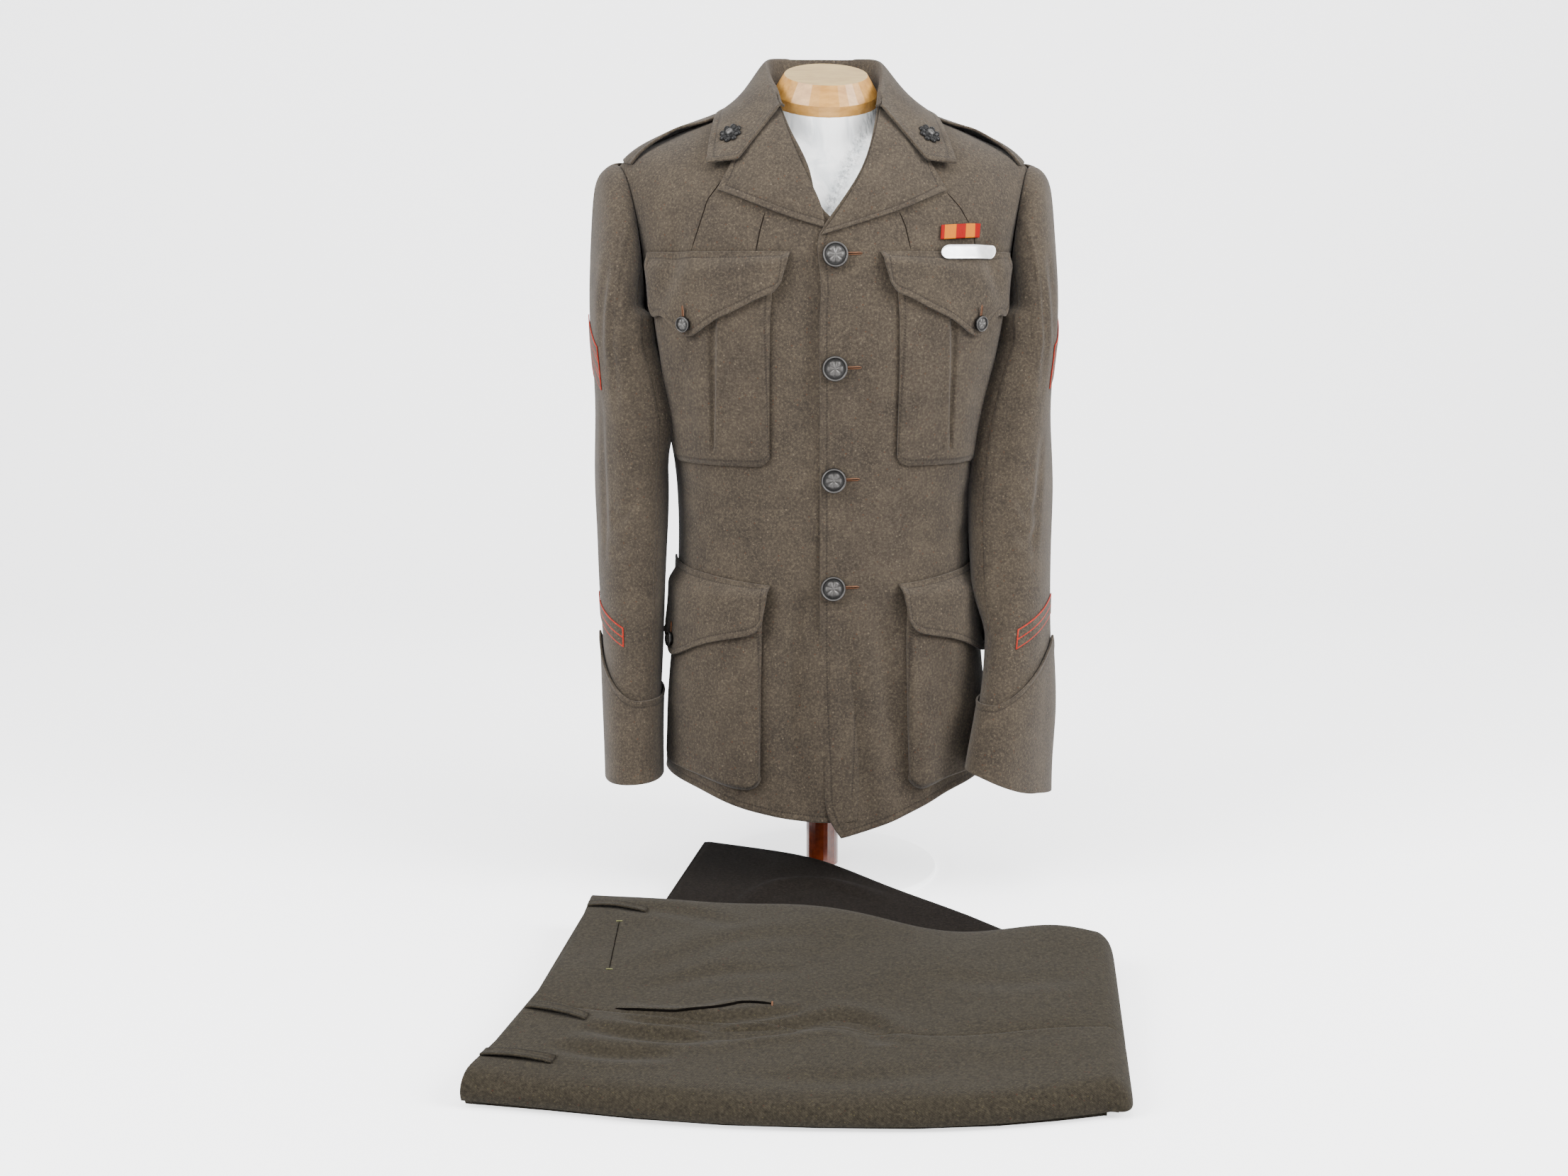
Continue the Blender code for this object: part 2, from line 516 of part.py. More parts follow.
def lapel_grid(side, columns, rows):
    """A lapel as x and height: from the roll line out to its edge, and from its foot up to the gorge."""
    along = np.linspace(0, 1, rows)[None, :]
    across = np.linspace(0, 1, columns)[:, None]
    foot = LAPEL_FOOT[side]
    roll_z = ROLL[side]["z"][0] + (GORGE_TOP[1] - ROLL[side]["z"][0]) * along
    roll = np.stack([spline(ROLL[side]["z"], ROLL[side]["x"], roll_z), roll_z], -1)
    side_edge = np.stack([LAPEL_TIP[0] + (LAPEL_NOTCH[0] - LAPEL_TIP[0]) * along,
                          LAPEL_TIP[1] + (LAPEL_NOTCH[1] - LAPEL_TIP[1]) * along], -1)
    lower = np.stack([spline((0, 0.5, 1), (foot[0], LAPEL_LOWER[0], LAPEL_TIP[0]), across),
                      spline((0, 0.5, 1), (foot[1], LAPEL_LOWER[1], LAPEL_TIP[1]), across)], -1)
    gorge = np.stack([GORGE_TOP[0] + (LAPEL_NOTCH[0] - GORGE_TOP[0]) * across,
                      GORGE_TOP[1] + (LAPEL_NOTCH[1] - GORGE_TOP[1]) * across], -1)
    u, v = across[..., None], along[..., None]
    corners = (1 - u) * (1 - v) * lower[:1] + u * (1 - v) * lower[-1:]
    corners = corners + (1 - u) * v * gorge[:1] + u * v * gorge[-1:]
    return (1 - u) * roll + u * side_edge + (1 - v) * lower + v * gorge - corners


def build_lapels():
    for side in ("left", "right"):
        flat = lapel_grid(side, 9, 9)
        x, z = flat[..., 0], flat[..., 1]
        across = np.linspace(0, 1, 9)[:, None]
        lift = overlap_lift(x, z) if side == "left" else 0 * x
        crown = LAPEL_CROWN["height"] * np.sin(math.pi * across)
        crown = crown * smooth(LAPEL_CROWN["from_z"], LAPEL_CROWN["to_z"], z)
        points = moved_out(angle_at(x, z), z, COAT_WALL + LAY_GAP + lift + crown)
        if side == "right":
            points = mirrored(points)
        shell("lapel_" + side, points, COAT_WALL, "coat wool", points * np.array([0.0, 0.0, 1.0]))


def collar_points(stations, profile):
    """The collar's visible face: from the foot of the stand, over the roll and down to the leaf's edge."""
    s = np.linspace(-1, 1, stations)
    full_s = [-v for v in COLLAR["s"][:0:-1]] + list(COLLAR["s"])
    guides = []
    for key in ("foot", "roll", "middle", "edge"):
        right = [(-x, y, z) for x, y, z in COLLAR[key][:0:-1]]
        table = np.array(right + list(COLLAR[key]))
        guides.append(np.stack([spline(full_s, table[:, k], s) for k in range(3)], -1))
    guides = np.array(guides)
    at = (0.0, 0.36, 0.68, 1.0)
    v = np.array(profile)
    grid = np.zeros((stations, len(v), 3))
    for i in range(stations):
        for k in range(3):
            grid[i, :, k] = spline(at, guides[:, i, k], v)
    return grid


def build_collar():
    points = collar_points(27, (0.0, 0.14, 0.27, 0.36, 0.45, 0.60, 0.80, 1.0))
    shell("collar", points, COAT_WALL, "coat wool", (0, 0, 0.70), grow=-1.0)


def shoulder_height(x, y):
    """Height of the coat's inner surface near the shoulder line."""
    ridge_y = spline(RIDGE["x"], RIDGE["y"], x)
    ridge_z = spline(RIDGE["x"], RIDGE["z"], x)
    half, front, back = section(ARMPIT_Z)
    share = x / TIP_X
    flat_front = -front * np.maximum(1 - share ** FRONT_POWER, 0.001) ** (1 / FRONT_POWER)
    flat_back = back * np.maximum(1 - share ** BACK_POWER, 0.001) ** (1 / BACK_POWER)
    bend = (y - ridge_y) / (np.where(y < ridge_y, flat_front, flat_back) - ridge_y)
    rise = np.maximum(1 - np.clip(bend, 0, 1) ** CHEST_POWER, 0) ** (1 / CHEST_POWER)
    return ARMPIT_Z + rise * (ridge_z - ARMPIT_Z)


def strap_points(columns, rows):
    """Underside of a shoulder strap, arched a little off the shoulder between its ends."""
    along = np.linspace(0, 1, columns)[:, None]
    across = np.linspace(-1, 1, rows)[None, :]
    half = STRAP_HALF - STRAP_TAPER * (1 - along)
    y = STRAP_MIDDLE_Y + across * half
    inner = STRAP_INNER_X + STRAP_LEAN * (y - STRAP_MIDDLE_Y)
    outer = STRAP_OUTER_X - STRAP_END_ROUND * across ** 2
    x = inner + (outer - inner) * along
    z = shoulder_height(x, y) + COAT_WALL + LAY_GAP + STRAP_LIFT
    z = z + STRAP_ARCH * np.sin(math.pi * along) ** 0.8 * (0.8 + 0.2 * (1 - across ** 2))
    return np.stack([x, y + 0 * z, z], -1)


def build_straps():
    for side in ("left", "right"):
        points = strap_points(11, 5)
        if side == "right":
            points = mirrored(points)
        shell("shoulder_strap_" + side, points, COAT_WALL, "coat wool", (0, 0, 0.3))


def armhole_ring(around):
    """The armhole's curve, moved out so that the sleeve starts just outside the panels' edges."""
    share_round = np.abs(around) / 180.0
    climb = (1 - share_round) ** 1.6
    face_front = around >= 0
    turn = np.clip(climb * 90.0, 0, 89.9)
    front = high_point(armhole_share(climb, "front"), turn, "front")
    back = high_point(armhole_share(climb, "back"), turn, "back")
    ring = np.where(face_front[..., None], front, back)
    ray = ring - np.array(ARMHOLE_MIDDLE)
    ray = ray / np.linalg.norm(ray, axis=-1, keepdims=True)
    armpit = np.stack([ARMPIT_EASE * (1 - climb), 0 * climb, 0 * climb], -1)
    return ring + ray * (COAT_WALL + ARMHOLE_GAP) + armpit


def sleeve_section(side, around, z, out):
    """Point of the sleeve's tube at an angle round it and a height, moved out."""
    table = SLEEVE[side]
    x, y, half, deep, turn = [spline(table["z"], table[key], z) for key in ("x", "y", "half", "deep", "turn")]
    a, t = np.radians(around), np.radians(turn)
    flat_x = (half - COAT_WALL + out) * signed_power(np.cos(a), 2 / SLEEVE_POWER)
    flat_y = -(deep - COAT_WALL + out) * signed_power(np.sin(a), 2 / SLEEVE_POWER)
    turned_x = flat_x * np.cos(t) + flat_y * np.sin(t)
    turned_y = flat_y * np.cos(t) - flat_x * np.sin(t)
    return np.stack([x + turned_x, y + turned_y, z + 0 * flat_x], -1)


def sleeve_hem(side, around):
    hem = SLEEVE_HEM[side]
    return hem["middle"] + hem["front"] * np.sin(np.radians(around)) - hem["inner"] * np.cos(np.radians(around))


def sleeve_points(side, around, cap_rows, tube_rows):
    """Inner surface of a sleeve, from the armhole to the hem, at the given angles round it."""
    around = np.asarray(around, float)
    signed = np.where(around > 180, around - 360, around)
    start = armhole_ring(signed)
    top = sleeve_section(side, around, np.full_like(around, SLEEVE_TOP_Z), 0.0)
    radial = np.stack([np.cos(np.radians(around)), -np.sin(np.radians(around)), 0 * around], -1)
    easy = ((1 + np.cos(np.radians(around))) / 2)[:, None]
    drop = (start[:, 2:3] - SLEEVE_TOP_Z)
    aside = np.array([SLEEVE_HEAD["side"], 0, SLEEVE_HEAD["up"]])
    pull_out = start + radial * SLEEVE_HEAD["out"] * easy ** 0.5 + aside
    pull_up = top + np.array([0, 0, 1.0]) * drop * SLEEVE_HEAD["down"]
    rows = []
    for t in np.linspace(0, 1, cap_rows, endpoint=False):
        outer_part = start * (1 - t) ** 3 + pull_out * 3 * t * (1 - t) ** 2
        rows.append(outer_part + pull_up * 3 * t * t * (1 - t) + top * t ** 3)
    hem = sleeve_hem(side, around)
    for t in np.linspace(0, 1, tube_rows):
        rows.append(sleeve_section(side, around, SLEEVE_TOP_Z + t * (hem - SLEEVE_TOP_Z), 0.0))
    return np.stack(rows, axis=1)


def cuff_height(around):
    signed = np.where(around > 180, around - 360, around)
    away_from_point = np.abs(signed - CUFF_POINT_AT)
    away_from_point = np.minimum(away_from_point, 360 - away_from_point)
    return CUFF_SQUARE + CUFF_POINT * np.maximum(0, 1 - away_from_point / CUFF_POINT_SPREAD)


def build_sleeves():
    first, last = SLEEVE_SEAMS
    seam = 0.25
    for side in ("left", "right"):
        flip = mirrored if side == "right" else (lambda p: p)
        upper = sleeve_points(side, np.linspace(last - 360 + seam, first - seam, 11) % 360, 5, 12)
        under = sleeve_points(side, np.linspace(first + seam, last - seam, 8), 5, 12)
        for name, points in (("upper", upper), ("under", under)):
            core = np.array(SLEEVE_CORE) + points * np.array([0.0, 0.0, 1.0])
            shell("sleeve_" + side + "_" + name, flip(points), COAT_WALL, "coat wool", flip(core))
        around = np.linspace(CUFF_FROM, CUFF_TO, 18)
        low = sleeve_hem(side, around) + CUFF_RISE
        share = np.linspace(0, 1, 5)[None, :]
        z = low[:, None] + (cuff_height(around % 360) - low)[:, None] * share
        cuff = sleeve_section(side, around[:, None] + 0 * z, z, COAT_WALL + CUFF_GAP)
        core = np.array(CUFF_CORE) + cuff * np.array([0.0, 0.0, 1.0])
        shell("cuff_" + side, flip(cuff), POCKET_WALL, "coat wool", flip(core))


def build_sleeve_patches():
    for side in ("left", "right"):
        flip = mirrored if side == "right" else (lambda p: p)
        out = COAT_WALL + PATCH_GAP
        across = np.linspace(-1, 1, 11)[:, None]
        up = np.linspace(0, 1, 3)[None, :]
        z = CHEVRON["top"] - CHEVRON["fall"] * np.abs(across) ** 0.9 - CHEVRON["height"] * (1 - up)
        z = np.minimum(z, SLEEVE_TOP_Z)
        around = CHEVRON["middle"] + CHEVRON["half"] * across + 0 * z
        points = sleeve_section(side, around, z, out)
        core = np.array(SLEEVE_CORE) + points * np.array([0.0, 0.0, 1.0])
        shell("chevron_" + side, flip(points), PATCH_WALL, "red felt", flip(core))
        along = np.linspace(0, 1, 8)[:, None]
        around = SERVICE_STRIPE["from"] + (SERVICE_STRIPE["to"] - SERVICE_STRIPE["from"]) * along
        middle = SERVICE_STRIPE["z_from"] + (SERVICE_STRIPE["z_to"] - SERVICE_STRIPE["z_from"]) * along
        z = middle + SERVICE_STRIPE["height"] * (np.linspace(-0.5, 0.5, 3)[None, :])
        points = sleeve_section(side, around + 0 * z, z, out)
        shell("service_stripe_" + side, flip(points), PATCH_WALL, "red felt", flip(core[:1, :1]))


def bag_points(bag, shift, columns, rows):
    """A patch pocket's bag by angle, height and how far it stands off, with rounded lower corners."""
    edges = np.concatenate([[0, 0.025], np.linspace(0.09, 0.91, columns - 4), [0.975, 1]])[:, None]
    climb = np.concatenate([[0, 0.02], np.linspace(0.08, 1.0, rows - 2)])[None, :]
    first = bag["bottom"][0] + (bag["top"][0] - bag["bottom"][0]) * climb
    last = bag["bottom"][1] + (bag["top"][1] - bag["bottom"][1]) * climb
    bottom = bag["bottom_z"] + bag.get("rise", 0.0) * edges
    near_side = np.minimum(edges, 1 - edges)
    turn_in = np.maximum(1 - near_side / BAG_CORNER_SHARE, 0)
    round_up = bag["corner"] * (1 - np.sqrt(np.maximum(1 - turn_in ** 2, 0)))
    z = bottom + round_up + (bag["top_z"] - bottom - round_up) * climb
    angle = first + (last - first) * edges + shift
    inside = np.minimum(smooth(0, 0.05, near_side), smooth(0, 0.06, climb))
    crown = 1 - BAG_CROWN + BAG_CROWN * np.sin(math.pi * edges)
    return angle + 0 * z, z, bag["puff"] * inside * crown * (1 - 0.45 * smooth(0.75, 1.0, climb))


def flap_points(flap, shift, rows, top_z=None, stations=15):
    """A scalloped pocket flap by angle and height, from its sewn top edge down to its point."""
    share = np.linspace(0, 1, stations)
    top = spline(flap["share"], flap["top"], share)[:, None]
    bottom = spline(flap["share"], flap["bottom"], share)[:, None]
    low = spline(flap["share"], flap["z"], share)[:, None]
    high = spline(flap["share"], flap["top_z"], share)[:, None] if top_z is None else top_z
    down = np.linspace(0, 1, rows)[None, :]
    return top + (bottom - top) * down + shift, high + (low - high) * down, down


def build_pockets():
    for side in ("left", "right"):
        flip = mirrored if side == "right" else (lambda p: p)
        for kind, bag, flap, top_z in (("breast", BREAST_BAG, BREAST_FLAP, BREAST_FLAP_TOP_Z),
                                       ("lower", LOWER_BAG, LOWER_FLAP, None)):
            shift = POCKET_SHIFT[side] if kind == "lower" else 0.0
            angle, z, puff = bag_points(bag, shift, 10, 9)
            points = body(angle, z)
            lift = overlap_lift(points[..., 0], z) if side == "left" else 0 * z
            base = COAT_WALL + LAY_GAP + POCKET_LIFT + lift
            points = moved_out(angle, z, base + puff)
            shell(kind + "_pocket_bag_" + side, flip(points), POCKET_WALL, "coat wool",
                  flip(points * np.array([0.0, 0.0, 1.0])))
            angle, z, down = flap_points(flap, shift, 5, top_z)
            lift = overlap_lift(body(angle, z)[..., 0], z) if side == "left" else 0 * z
            rise = bag["puff"] + POCKET_WALL + 2 * LAY_GAP
            out = COAT_WALL + LAY_GAP + lift + POCKET_LIFT + rise * smooth(0.0, FLAP_RISE_SHARE, down)
            points = moved_out(angle, z, out)
            shell(kind + "_pocket_flap_" + side, flip(points), POCKET_WALL, "coat wool",
                  flip(points * np.array([0.0, 0.0, 1.0])))


def button_profile(radius, height):
    """A domed, rimmed uniform button, from the middle of its face round to the middle of its back."""
    rim, dome_r, dome_foot = radius * 0.90, radius * 0.72, 0.72
    dome = [(dome_r * math.sin(t), height * (dome_foot + (1 - dome_foot) * math.cos(t)))
            for t in np.linspace(0, math.pi / 2, 4)]
    return dome + [(rim, height * 0.80), (radius, height * 0.55), (rim, 0.0), (0.0, 0.0)]


def place_on_body(angle, z, out, side):
    point = moved_out(np.array(angle), np.array(z), np.array(out))
    normal = outward(np.array(angle), np.array(z))
    if side == "right":
        point, normal = mirrored(point), mirrored(normal)
    return tuple(point), tuple(normal)


def build_buttons():
    for i, z in enumerate(FRONT_BUTTONS_Z):
        out = 2 * COAT_WALL + OVERLAP_GAP + FRONT_BUTTON["off"]
        place, normal = place_on_body(0.0, z, out, "left")
        profile = button_profile(FRONT_BUTTON["radius"], FRONT_BUTTON["height"])
        turned("front_button_" + str(i + 1), profile, "bronze", place, normal, 16)
    for side in ("left", "right"):
        for kind, bag, (angle, z) in (("breast", BREAST_BAG, BREAST_BUTTON),
                                      ("lower", LOWER_BAG, LOWER_BUTTON)):
            shift = POCKET_SHIFT[side] if kind == "lower" else 0.0
            out = COAT_WALL + 3 * LAY_GAP + bag["puff"] + 2 * POCKET_WALL + POCKET_BUTTON["off"]
            place, normal = place_on_body(angle + shift, z, out, side)
            profile = button_profile(POCKET_BUTTON["radius"], POCKET_BUTTON["height"])
            turned(kind + "_flap_button_" + side, profile, "bronze", place, normal, 12)


def rosette_profile(radius):
    """A plain stepped rosette: radius and height, from the middle of its face to the middle of its back."""
    shares = ((0.0, 0.0048), (0.35, 0.0042), (0.55, 0.0024), (0.85, 0.0020), (1.0, 0.0008), (0.9, 0.0),
              (0.0, 0.0))
    return [(radius * share, height) for share, height in shares]


def build_devices():
    """Collar devices as plain leafy rosettes, the ribbon and the bar over the breast pocket."""
    face = collar_points(81, np.linspace(0.45, 1.0, 60))
    normals = surface_normals(face)
    normals = normals * np.sign(np.mean(normals[..., 2]))
    for side in ("left", "right"):
        x, z = DEVICE_AT[0] * (1 if side == "left" else -1), DEVICE_AT[1]
        behind = np.maximum(face[..., 1], 0)
        spot = np.argmin((face[..., 0] - x) ** 2 + (face[..., 2] - z) ** 2 + 10 * behind ** 2)
        place, normal = face.reshape(-1, 3)[spot], normals.reshape(-1, 3)[spot]
        place = place + normal * DEVICE_OFF
        turned("collar_device_" + side, rosette_profile(DEVICE_R), "bronze", place, normal, 14)
    for name, bar, finish in (("ribbon_bar", RIBBON, "ribbon"), ("badge_bar", BADGE, "silver")):
        angle = np.linspace(bar["from"], bar["to"], 9)[:, None]
        ends = np.abs(np.linspace(-1, 1, 9))[:, None]
        half = bar["height"] / 2 * (1 - bar["taper"] * smooth(0.75, 1.0, ends))
        z = bar["z"] + half * np.linspace(-1, 1, 3)[None, :]
        out = COAT_WALL + LAY_GAP + bar["off"] + BAR_BEND * (1 - ends ** 2)
        points = moved_out(angle + 0 * z, z, out + 0 * z)
        shell(name, points, bar["wall"], finish, points * np.array([0.0, 0.0, 1.0]))


def form_section(z):
    """Half width, front depth and back depth of the dress form, inside the coat."""
    half, front, back = [float(v) for v in section(z)]
    return half - FORM_IN["side"], front - FORM_IN["front"], back - FORM_IN["back"]


def form_ring(rows_low, rows_high, columns):
    """The dress form below the shoulder line: rings of points all the way round."""
    share = np.sin(np.radians(np.linspace(0, 90, columns))) ** (2 / FRONT_POWER)
    ahead = -np.maximum(1 - share ** FRONT_POWER, 0) ** (1 / FRONT_POWER)
    behind = np.maximum(1 - share ** BACK_POWER, 0) ** (1 / BACK_POWER)
    rings = []
    for z in rows_low:
        half, front, back = form_section(z)
        rings.append((share * half, front * ahead, back * behind, np.full(columns, z)))
    half, front, back = form_section(ARMPIT_Z)
    for turn in rows_high:
        rise = math.sin(math.radians(turn)) ** (2 / CHEST_POWER)
        bend = math.cos(math.radians(turn)) ** (2 / CHEST_POWER)
        x = share * (half + (FORM_TIP_X - half) * rise ** TIP_EASE)
        ridge_y = spline(RIDGE["x"], RIDGE["y"], x)
        ridge_z = spline(RIDGE["x"], RIDGE["z"], x) - FORM_IN["shoulder"]
        ridge_z = ridge_z - FORM_TIP_DROP * smooth(0.13, FORM_TIP_X, x)
        ridge_z = ridge_z - FORM_NECK_DROP * (1 - smooth(0.034, 0.082, x))
        y_front = ridge_y + (front * ahead - ridge_y) * bend
        y_back = ridge_y + (back * behind - ridge_y) * bend
        rings.append((x, y_front, y_back, ARMPIT_Z + rise * (ridge_z - ARMPIT_Z)))
    full = []
    for x, y_front, y_back, z in rings:
        right = np.stack([x, y_front, z], -1)
        behind = np.stack([x, y_back, z], -1)[-2::-1]
        half_ring = np.concatenate([right, behind])
        other = half_ring[-2:0:-1] * np.array([-1.0, 1.0, 1.0])
        full.append(np.concatenate([half_ring, other]))
    return np.array(full)


def build_form():
    """Torso with its neck, joined into one smooth body, then the wooden cap, post and base."""
    low = np.linspace(FORM_BOTTOM_Z, ARMPIT_Z, 9)
    high = (14.0, 28.0, 42.0, 56.0, 69.0, 80.0, 90.0)
    torso = loft("form_torso", form_ring(low, high, 9), "jersey", capped=(0,))
    tilt = math.radians(NECK_TILT)
    axis = Vector((0, -math.sin(tilt), math.cos(tilt)))
    top = Vector((0, NECK_Y, NECK_TOP_Z))
    column = ((0.0, NECK_LONG), (NECK_R, NECK_LONG), (NECK_R * 1.04, NECK_LONG * 0.6), (NECK_R * 1.20, 0.0),
              (0.0, 0.0))
    neck = turned("neck_column", column, "jersey", top - axis * NECK_LONG, axis, 24)
    neck.hide_render = True
    neck.display_type = "WIRE"
    bpy.data.collections["military_uniform"].objects.unlink(neck)
    bpy.data.collections["cutters"].objects.link(neck)
    join = torso.modifiers.new("neck", "BOOLEAN")
    join.operation = "UNION"
    join.object = neck
    cap = top + axis * SEAM_GAP
    profile = ((0.0, CAP_H), (CAP_FACE_R, CAP_H), (CAP_R, CAP_SIDE_H), (CAP_R, 0.0), (0.0, 0.0))
    turned("form_neck_cap", profile, "pale wood", cap, axis, 32)
    post_top, post_foot = FORM_BOTTOM_Z - SEAM_GAP, BASE_H + SEAM_GAP
    profile = ((0.0, post_top), (POST_R, post_top), (POST_R, post_foot), (0.0, post_foot))
    turned("stand_post", profile, "red varnish", (0, 0, 0), steps=24)
    profile = ((0.0, BASE_H), (BASE_R - BASE_EDGE, BASE_H), (BASE_R, BASE_H - BASE_EDGE), (BASE_R, 0.0),
               (0.0, 0.0))
    turned("stand_base", profile, "white steel", (0, 0, 0), steps=40)


def stack_plan(u, across):
    """Plan point of the folded stack: u runs from the waist to the knee fold, across from far to near."""
    far = np.stack([spline(TOP["u"], TOP["far_x"], u), spline(TOP["u"], TOP["far_y"], u)], -1)
    near = np.stack([spline(TOP["u"], TOP["near_x"], u), spline(TOP["u"], TOP["near_y"], u)], -1)
    plan = far + (near - far) * across[..., None]
    bow = WAIST_BOW * np.sin(math.pi * np.clip(across, 0, 1)) * (1 - smooth(0, 0.35, u))
    return plan + np.stack([bow, 0 * bow], -1)


def stack_height(u, across):
    """Height of the top ply's outer face away from the rounded edges."""
    far, near = spline(TOP["u"], TOP["far_z"], u), spline(TOP["u"], TOP["near_z"], u)
    return far + (near - far) * smooth(-0.15, 1.10, across)


def fold_direction():
    """Plan direction in which the stack ends at its knee fold."""
    push = stack_plan(np.array([1.0]), np.array([0.5]))[0] - stack_plan(np.array([0.97]), np.array([0.5]))[0]
    return push / np.linalg.norm(push)


def stack_section(u, profile, inset, drop):
    """Sections across the stack: the profile holds each point's place across and its share of the height."""
    far, near = stack_plan(u, 0 * u), stack_plan(u, 0 * u + 1)
    width = np.linalg.norm(near - far, axis=-1)
    points = []
    for place, share in profile:
        across = (np.full_like(u, place) * (width - 2 * inset) + inset) / width
        plan = stack_plan(u, across)
        height = stack_height(u, np.clip(across, 0, 1)) - drop
        points.append(np.concatenate([plan, (height * share)[..., None]], -1))
    return np.stack(points, axis=1)


def build_trousers():
    stations = np.array([0.0, 0.04, 0.14, 0.28, 0.42, 0.56, 0.70, 0.82, 0.91, 0.965, LAYERS_END["u"]])
    inner = TROUSER_WALL + LAYERS_DOWN
    layered = []
    for k, share in enumerate(np.linspace(0.0, 0.86, 2 * PLIES + 1)):
        layered.append((0.006 if k % 2 == 0 else 0.006 - PLY_BULGE / STACK_LONG, share))
    far_side = layered + [(0.020, 0.965), (0.045, 1.0)]
    near_side = [(1 - place, share) for place, share in far_side[::-1]]
    profile = far_side + [(v, 1.0) for v in (0.20, 0.40, 0.60, 0.80)] + near_side
    rings = stack_section(stations, profile, inner + LAYERS_IN, inner)
    last = rings[-1].copy()
    for reach, share in KNEE_RINGS:
        ring = last.copy()
        ring[:, :2] += fold_direction() * (reach - LAYERS_END["back"])
        ring[:, 2] = np.minimum(ring[:, 2], np.max(last[:, 2]) * share)
        rings = np.concatenate([rings, ring[None]])
    loft("trousers_folded_layers", rings, "trouser serge")
    build_top_plies()
    build_lower_legs()
    build_belt_loops()


def ply_grid(u, across_list):
    """Outer ply over the stack: rounded down at the far and near edges and over the knee fold."""
    grid = []
    for place, share in across_list:
        across = np.full_like(u, place)
        plan = stack_plan(np.minimum(u, 1.0), across)
        height = stack_height(np.minimum(u, 1.0), np.clip(across, 0, 1)) - TROUSER_WALL
        grid.append(np.concatenate([plan, (height * share)[..., None]], -1))
    grid = np.stack(grid, axis=1)
    past = np.maximum(u - 1.0, 0)[:, None]
    turn = past * math.radians(90)
    grid[..., :2] += fold_direction() * (KNEE_ROUND * np.sin(turn))[..., None]
    grid[..., 2] = grid[..., 2] * (1 - 0.86 * (1 - np.cos(turn)) * (past > 0))
    return grid


def build_top_plies():
    u = np.concatenate([np.linspace(0, 1, 12), [1.35, 1.7, 1.98]])
    gap = SEAM_GAP / 2 / STACK_LONG
    far = [(0.0, 0.47), (0.0, 0.68), (0.010, 0.89), (0.034, 0.985), (0.10, 1.0), (0.24, 1.0), (0.38, 1.0),
           (0.52, 1.0), (TOP_SEAM - gap, 1.0)]
    near = [(TOP_SEAM + gap, 1.0), (0.74, 1.0), (0.83, 1.0), (0.92, 1.0), (0.966, 0.975), (0.990, 0.83),
            (1.0, 0.55), (0.996, 0.28)]
    shell("trousers_back", ply_grid(u, far), TROUSER_WALL, "trouser serge", UNDER_STACK)
    shell("trousers_front", ply_grid(u, near), TROUSER_WALL, "trouser serge", UNDER_STACK)


def build_lower_legs():
    """The lower legs that show behind the stack, with their layered edge."""
    s = np.linspace(0, 1, 11)
    far = np.stack([spline(LEG["s"], LEG["far_x"], s), spline(LEG["s"], LEG["far_y"], s)], -1)
    near = np.stack([spline(LEG["s"], LEG["near_x"], s), spline(LEG["s"], LEG["near_y"], s)], -1)
    layered = [(0.006, 0.0), (0.0, 0.12), (0.010, 0.24), (0.0, 0.38), (0.010, 0.50), (0.0, 0.64), (0.010, 0.76)]
    profile = layered + [(0.004, 0.90), (0.03, 1.0), (0.35, 1.0), (0.70, 1.0), (1.0, 1.0), (1.0, 0.0)]
    rings = np.zeros((len(s), len(profile), 3))
    for k, (place, share) in enumerate(profile):
        rings[:, k, :2] = far + (near - far) * place
        rings[:, k, 2] = LEG_THICK * share
    legs = loft("trousers_lower_legs", rings, "trouser serge")
    mesh = bpy.data.meshes.new("plate_relief")
    working = bmesh.new()
    radius = BASE_R + LAY_GAP
    bmesh.ops.create_cone(working, cap_ends=True, segments=64, radius1=radius, radius2=radius,
                          depth=2 * (BASE_H + SEAM_GAP))
    working.to_mesh(mesh)
    working.free()
    relief = bpy.data.objects.new("plate_relief", mesh)
    bpy.data.collections["cutters"].objects.link(relief)
    relief.hide_render = True
    relief.display_type = "WIRE"
    cut = legs.modifiers.new("plate", "BOOLEAN")
    cut.operation = "DIFFERENCE"
    cut.object = relief


def build_belt_loops():
    for i, spot in enumerate(BELT_LOOPS):
        along = np.linspace(0, 1, 7)[:, None]
        u = 0.002 + along * LOOP_LONG
        centre = spot["across"] + spot["lean"] * along
        across = centre + np.linspace(-0.5, 0.5, 3)[None, :] * LOOP_WIDE / STACK_LONG
        u = u + 0 * across
        plan = stack_plan(u.ravel(), across.ravel()).reshape(u.shape + (2,))
        z = stack_height(u, across) + LAY_GAP + LOOP_ARCH * np.sin(math.pi * along) ** 0.7
        points = np.concatenate([plan, z[..., None]], -1)
        shell("belt_loop_" + str(i + 1), points, TROUSER_WALL, "trouser serge", UNDER_STACK)


def main():
    for old in list(bpy.data.objects):
        bpy.data.objects.remove(old)
    for name in ("military_uniform", "cutters"):
        bpy.context.scene.collection.children.link(bpy.data.collections.new(name))
    build_form()
    build_fronts_and_backs()
    build_lapels()
    build_collar()
    build_straps()
    build_sleeves()
    build_sleeve_patches()
    build_pockets()
    build_buttons()
    build_devices()
    build_trousers()


main()
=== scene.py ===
import math
import bpy
import numpy as np
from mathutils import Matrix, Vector
from mathutils.bvhtree import BVHTree


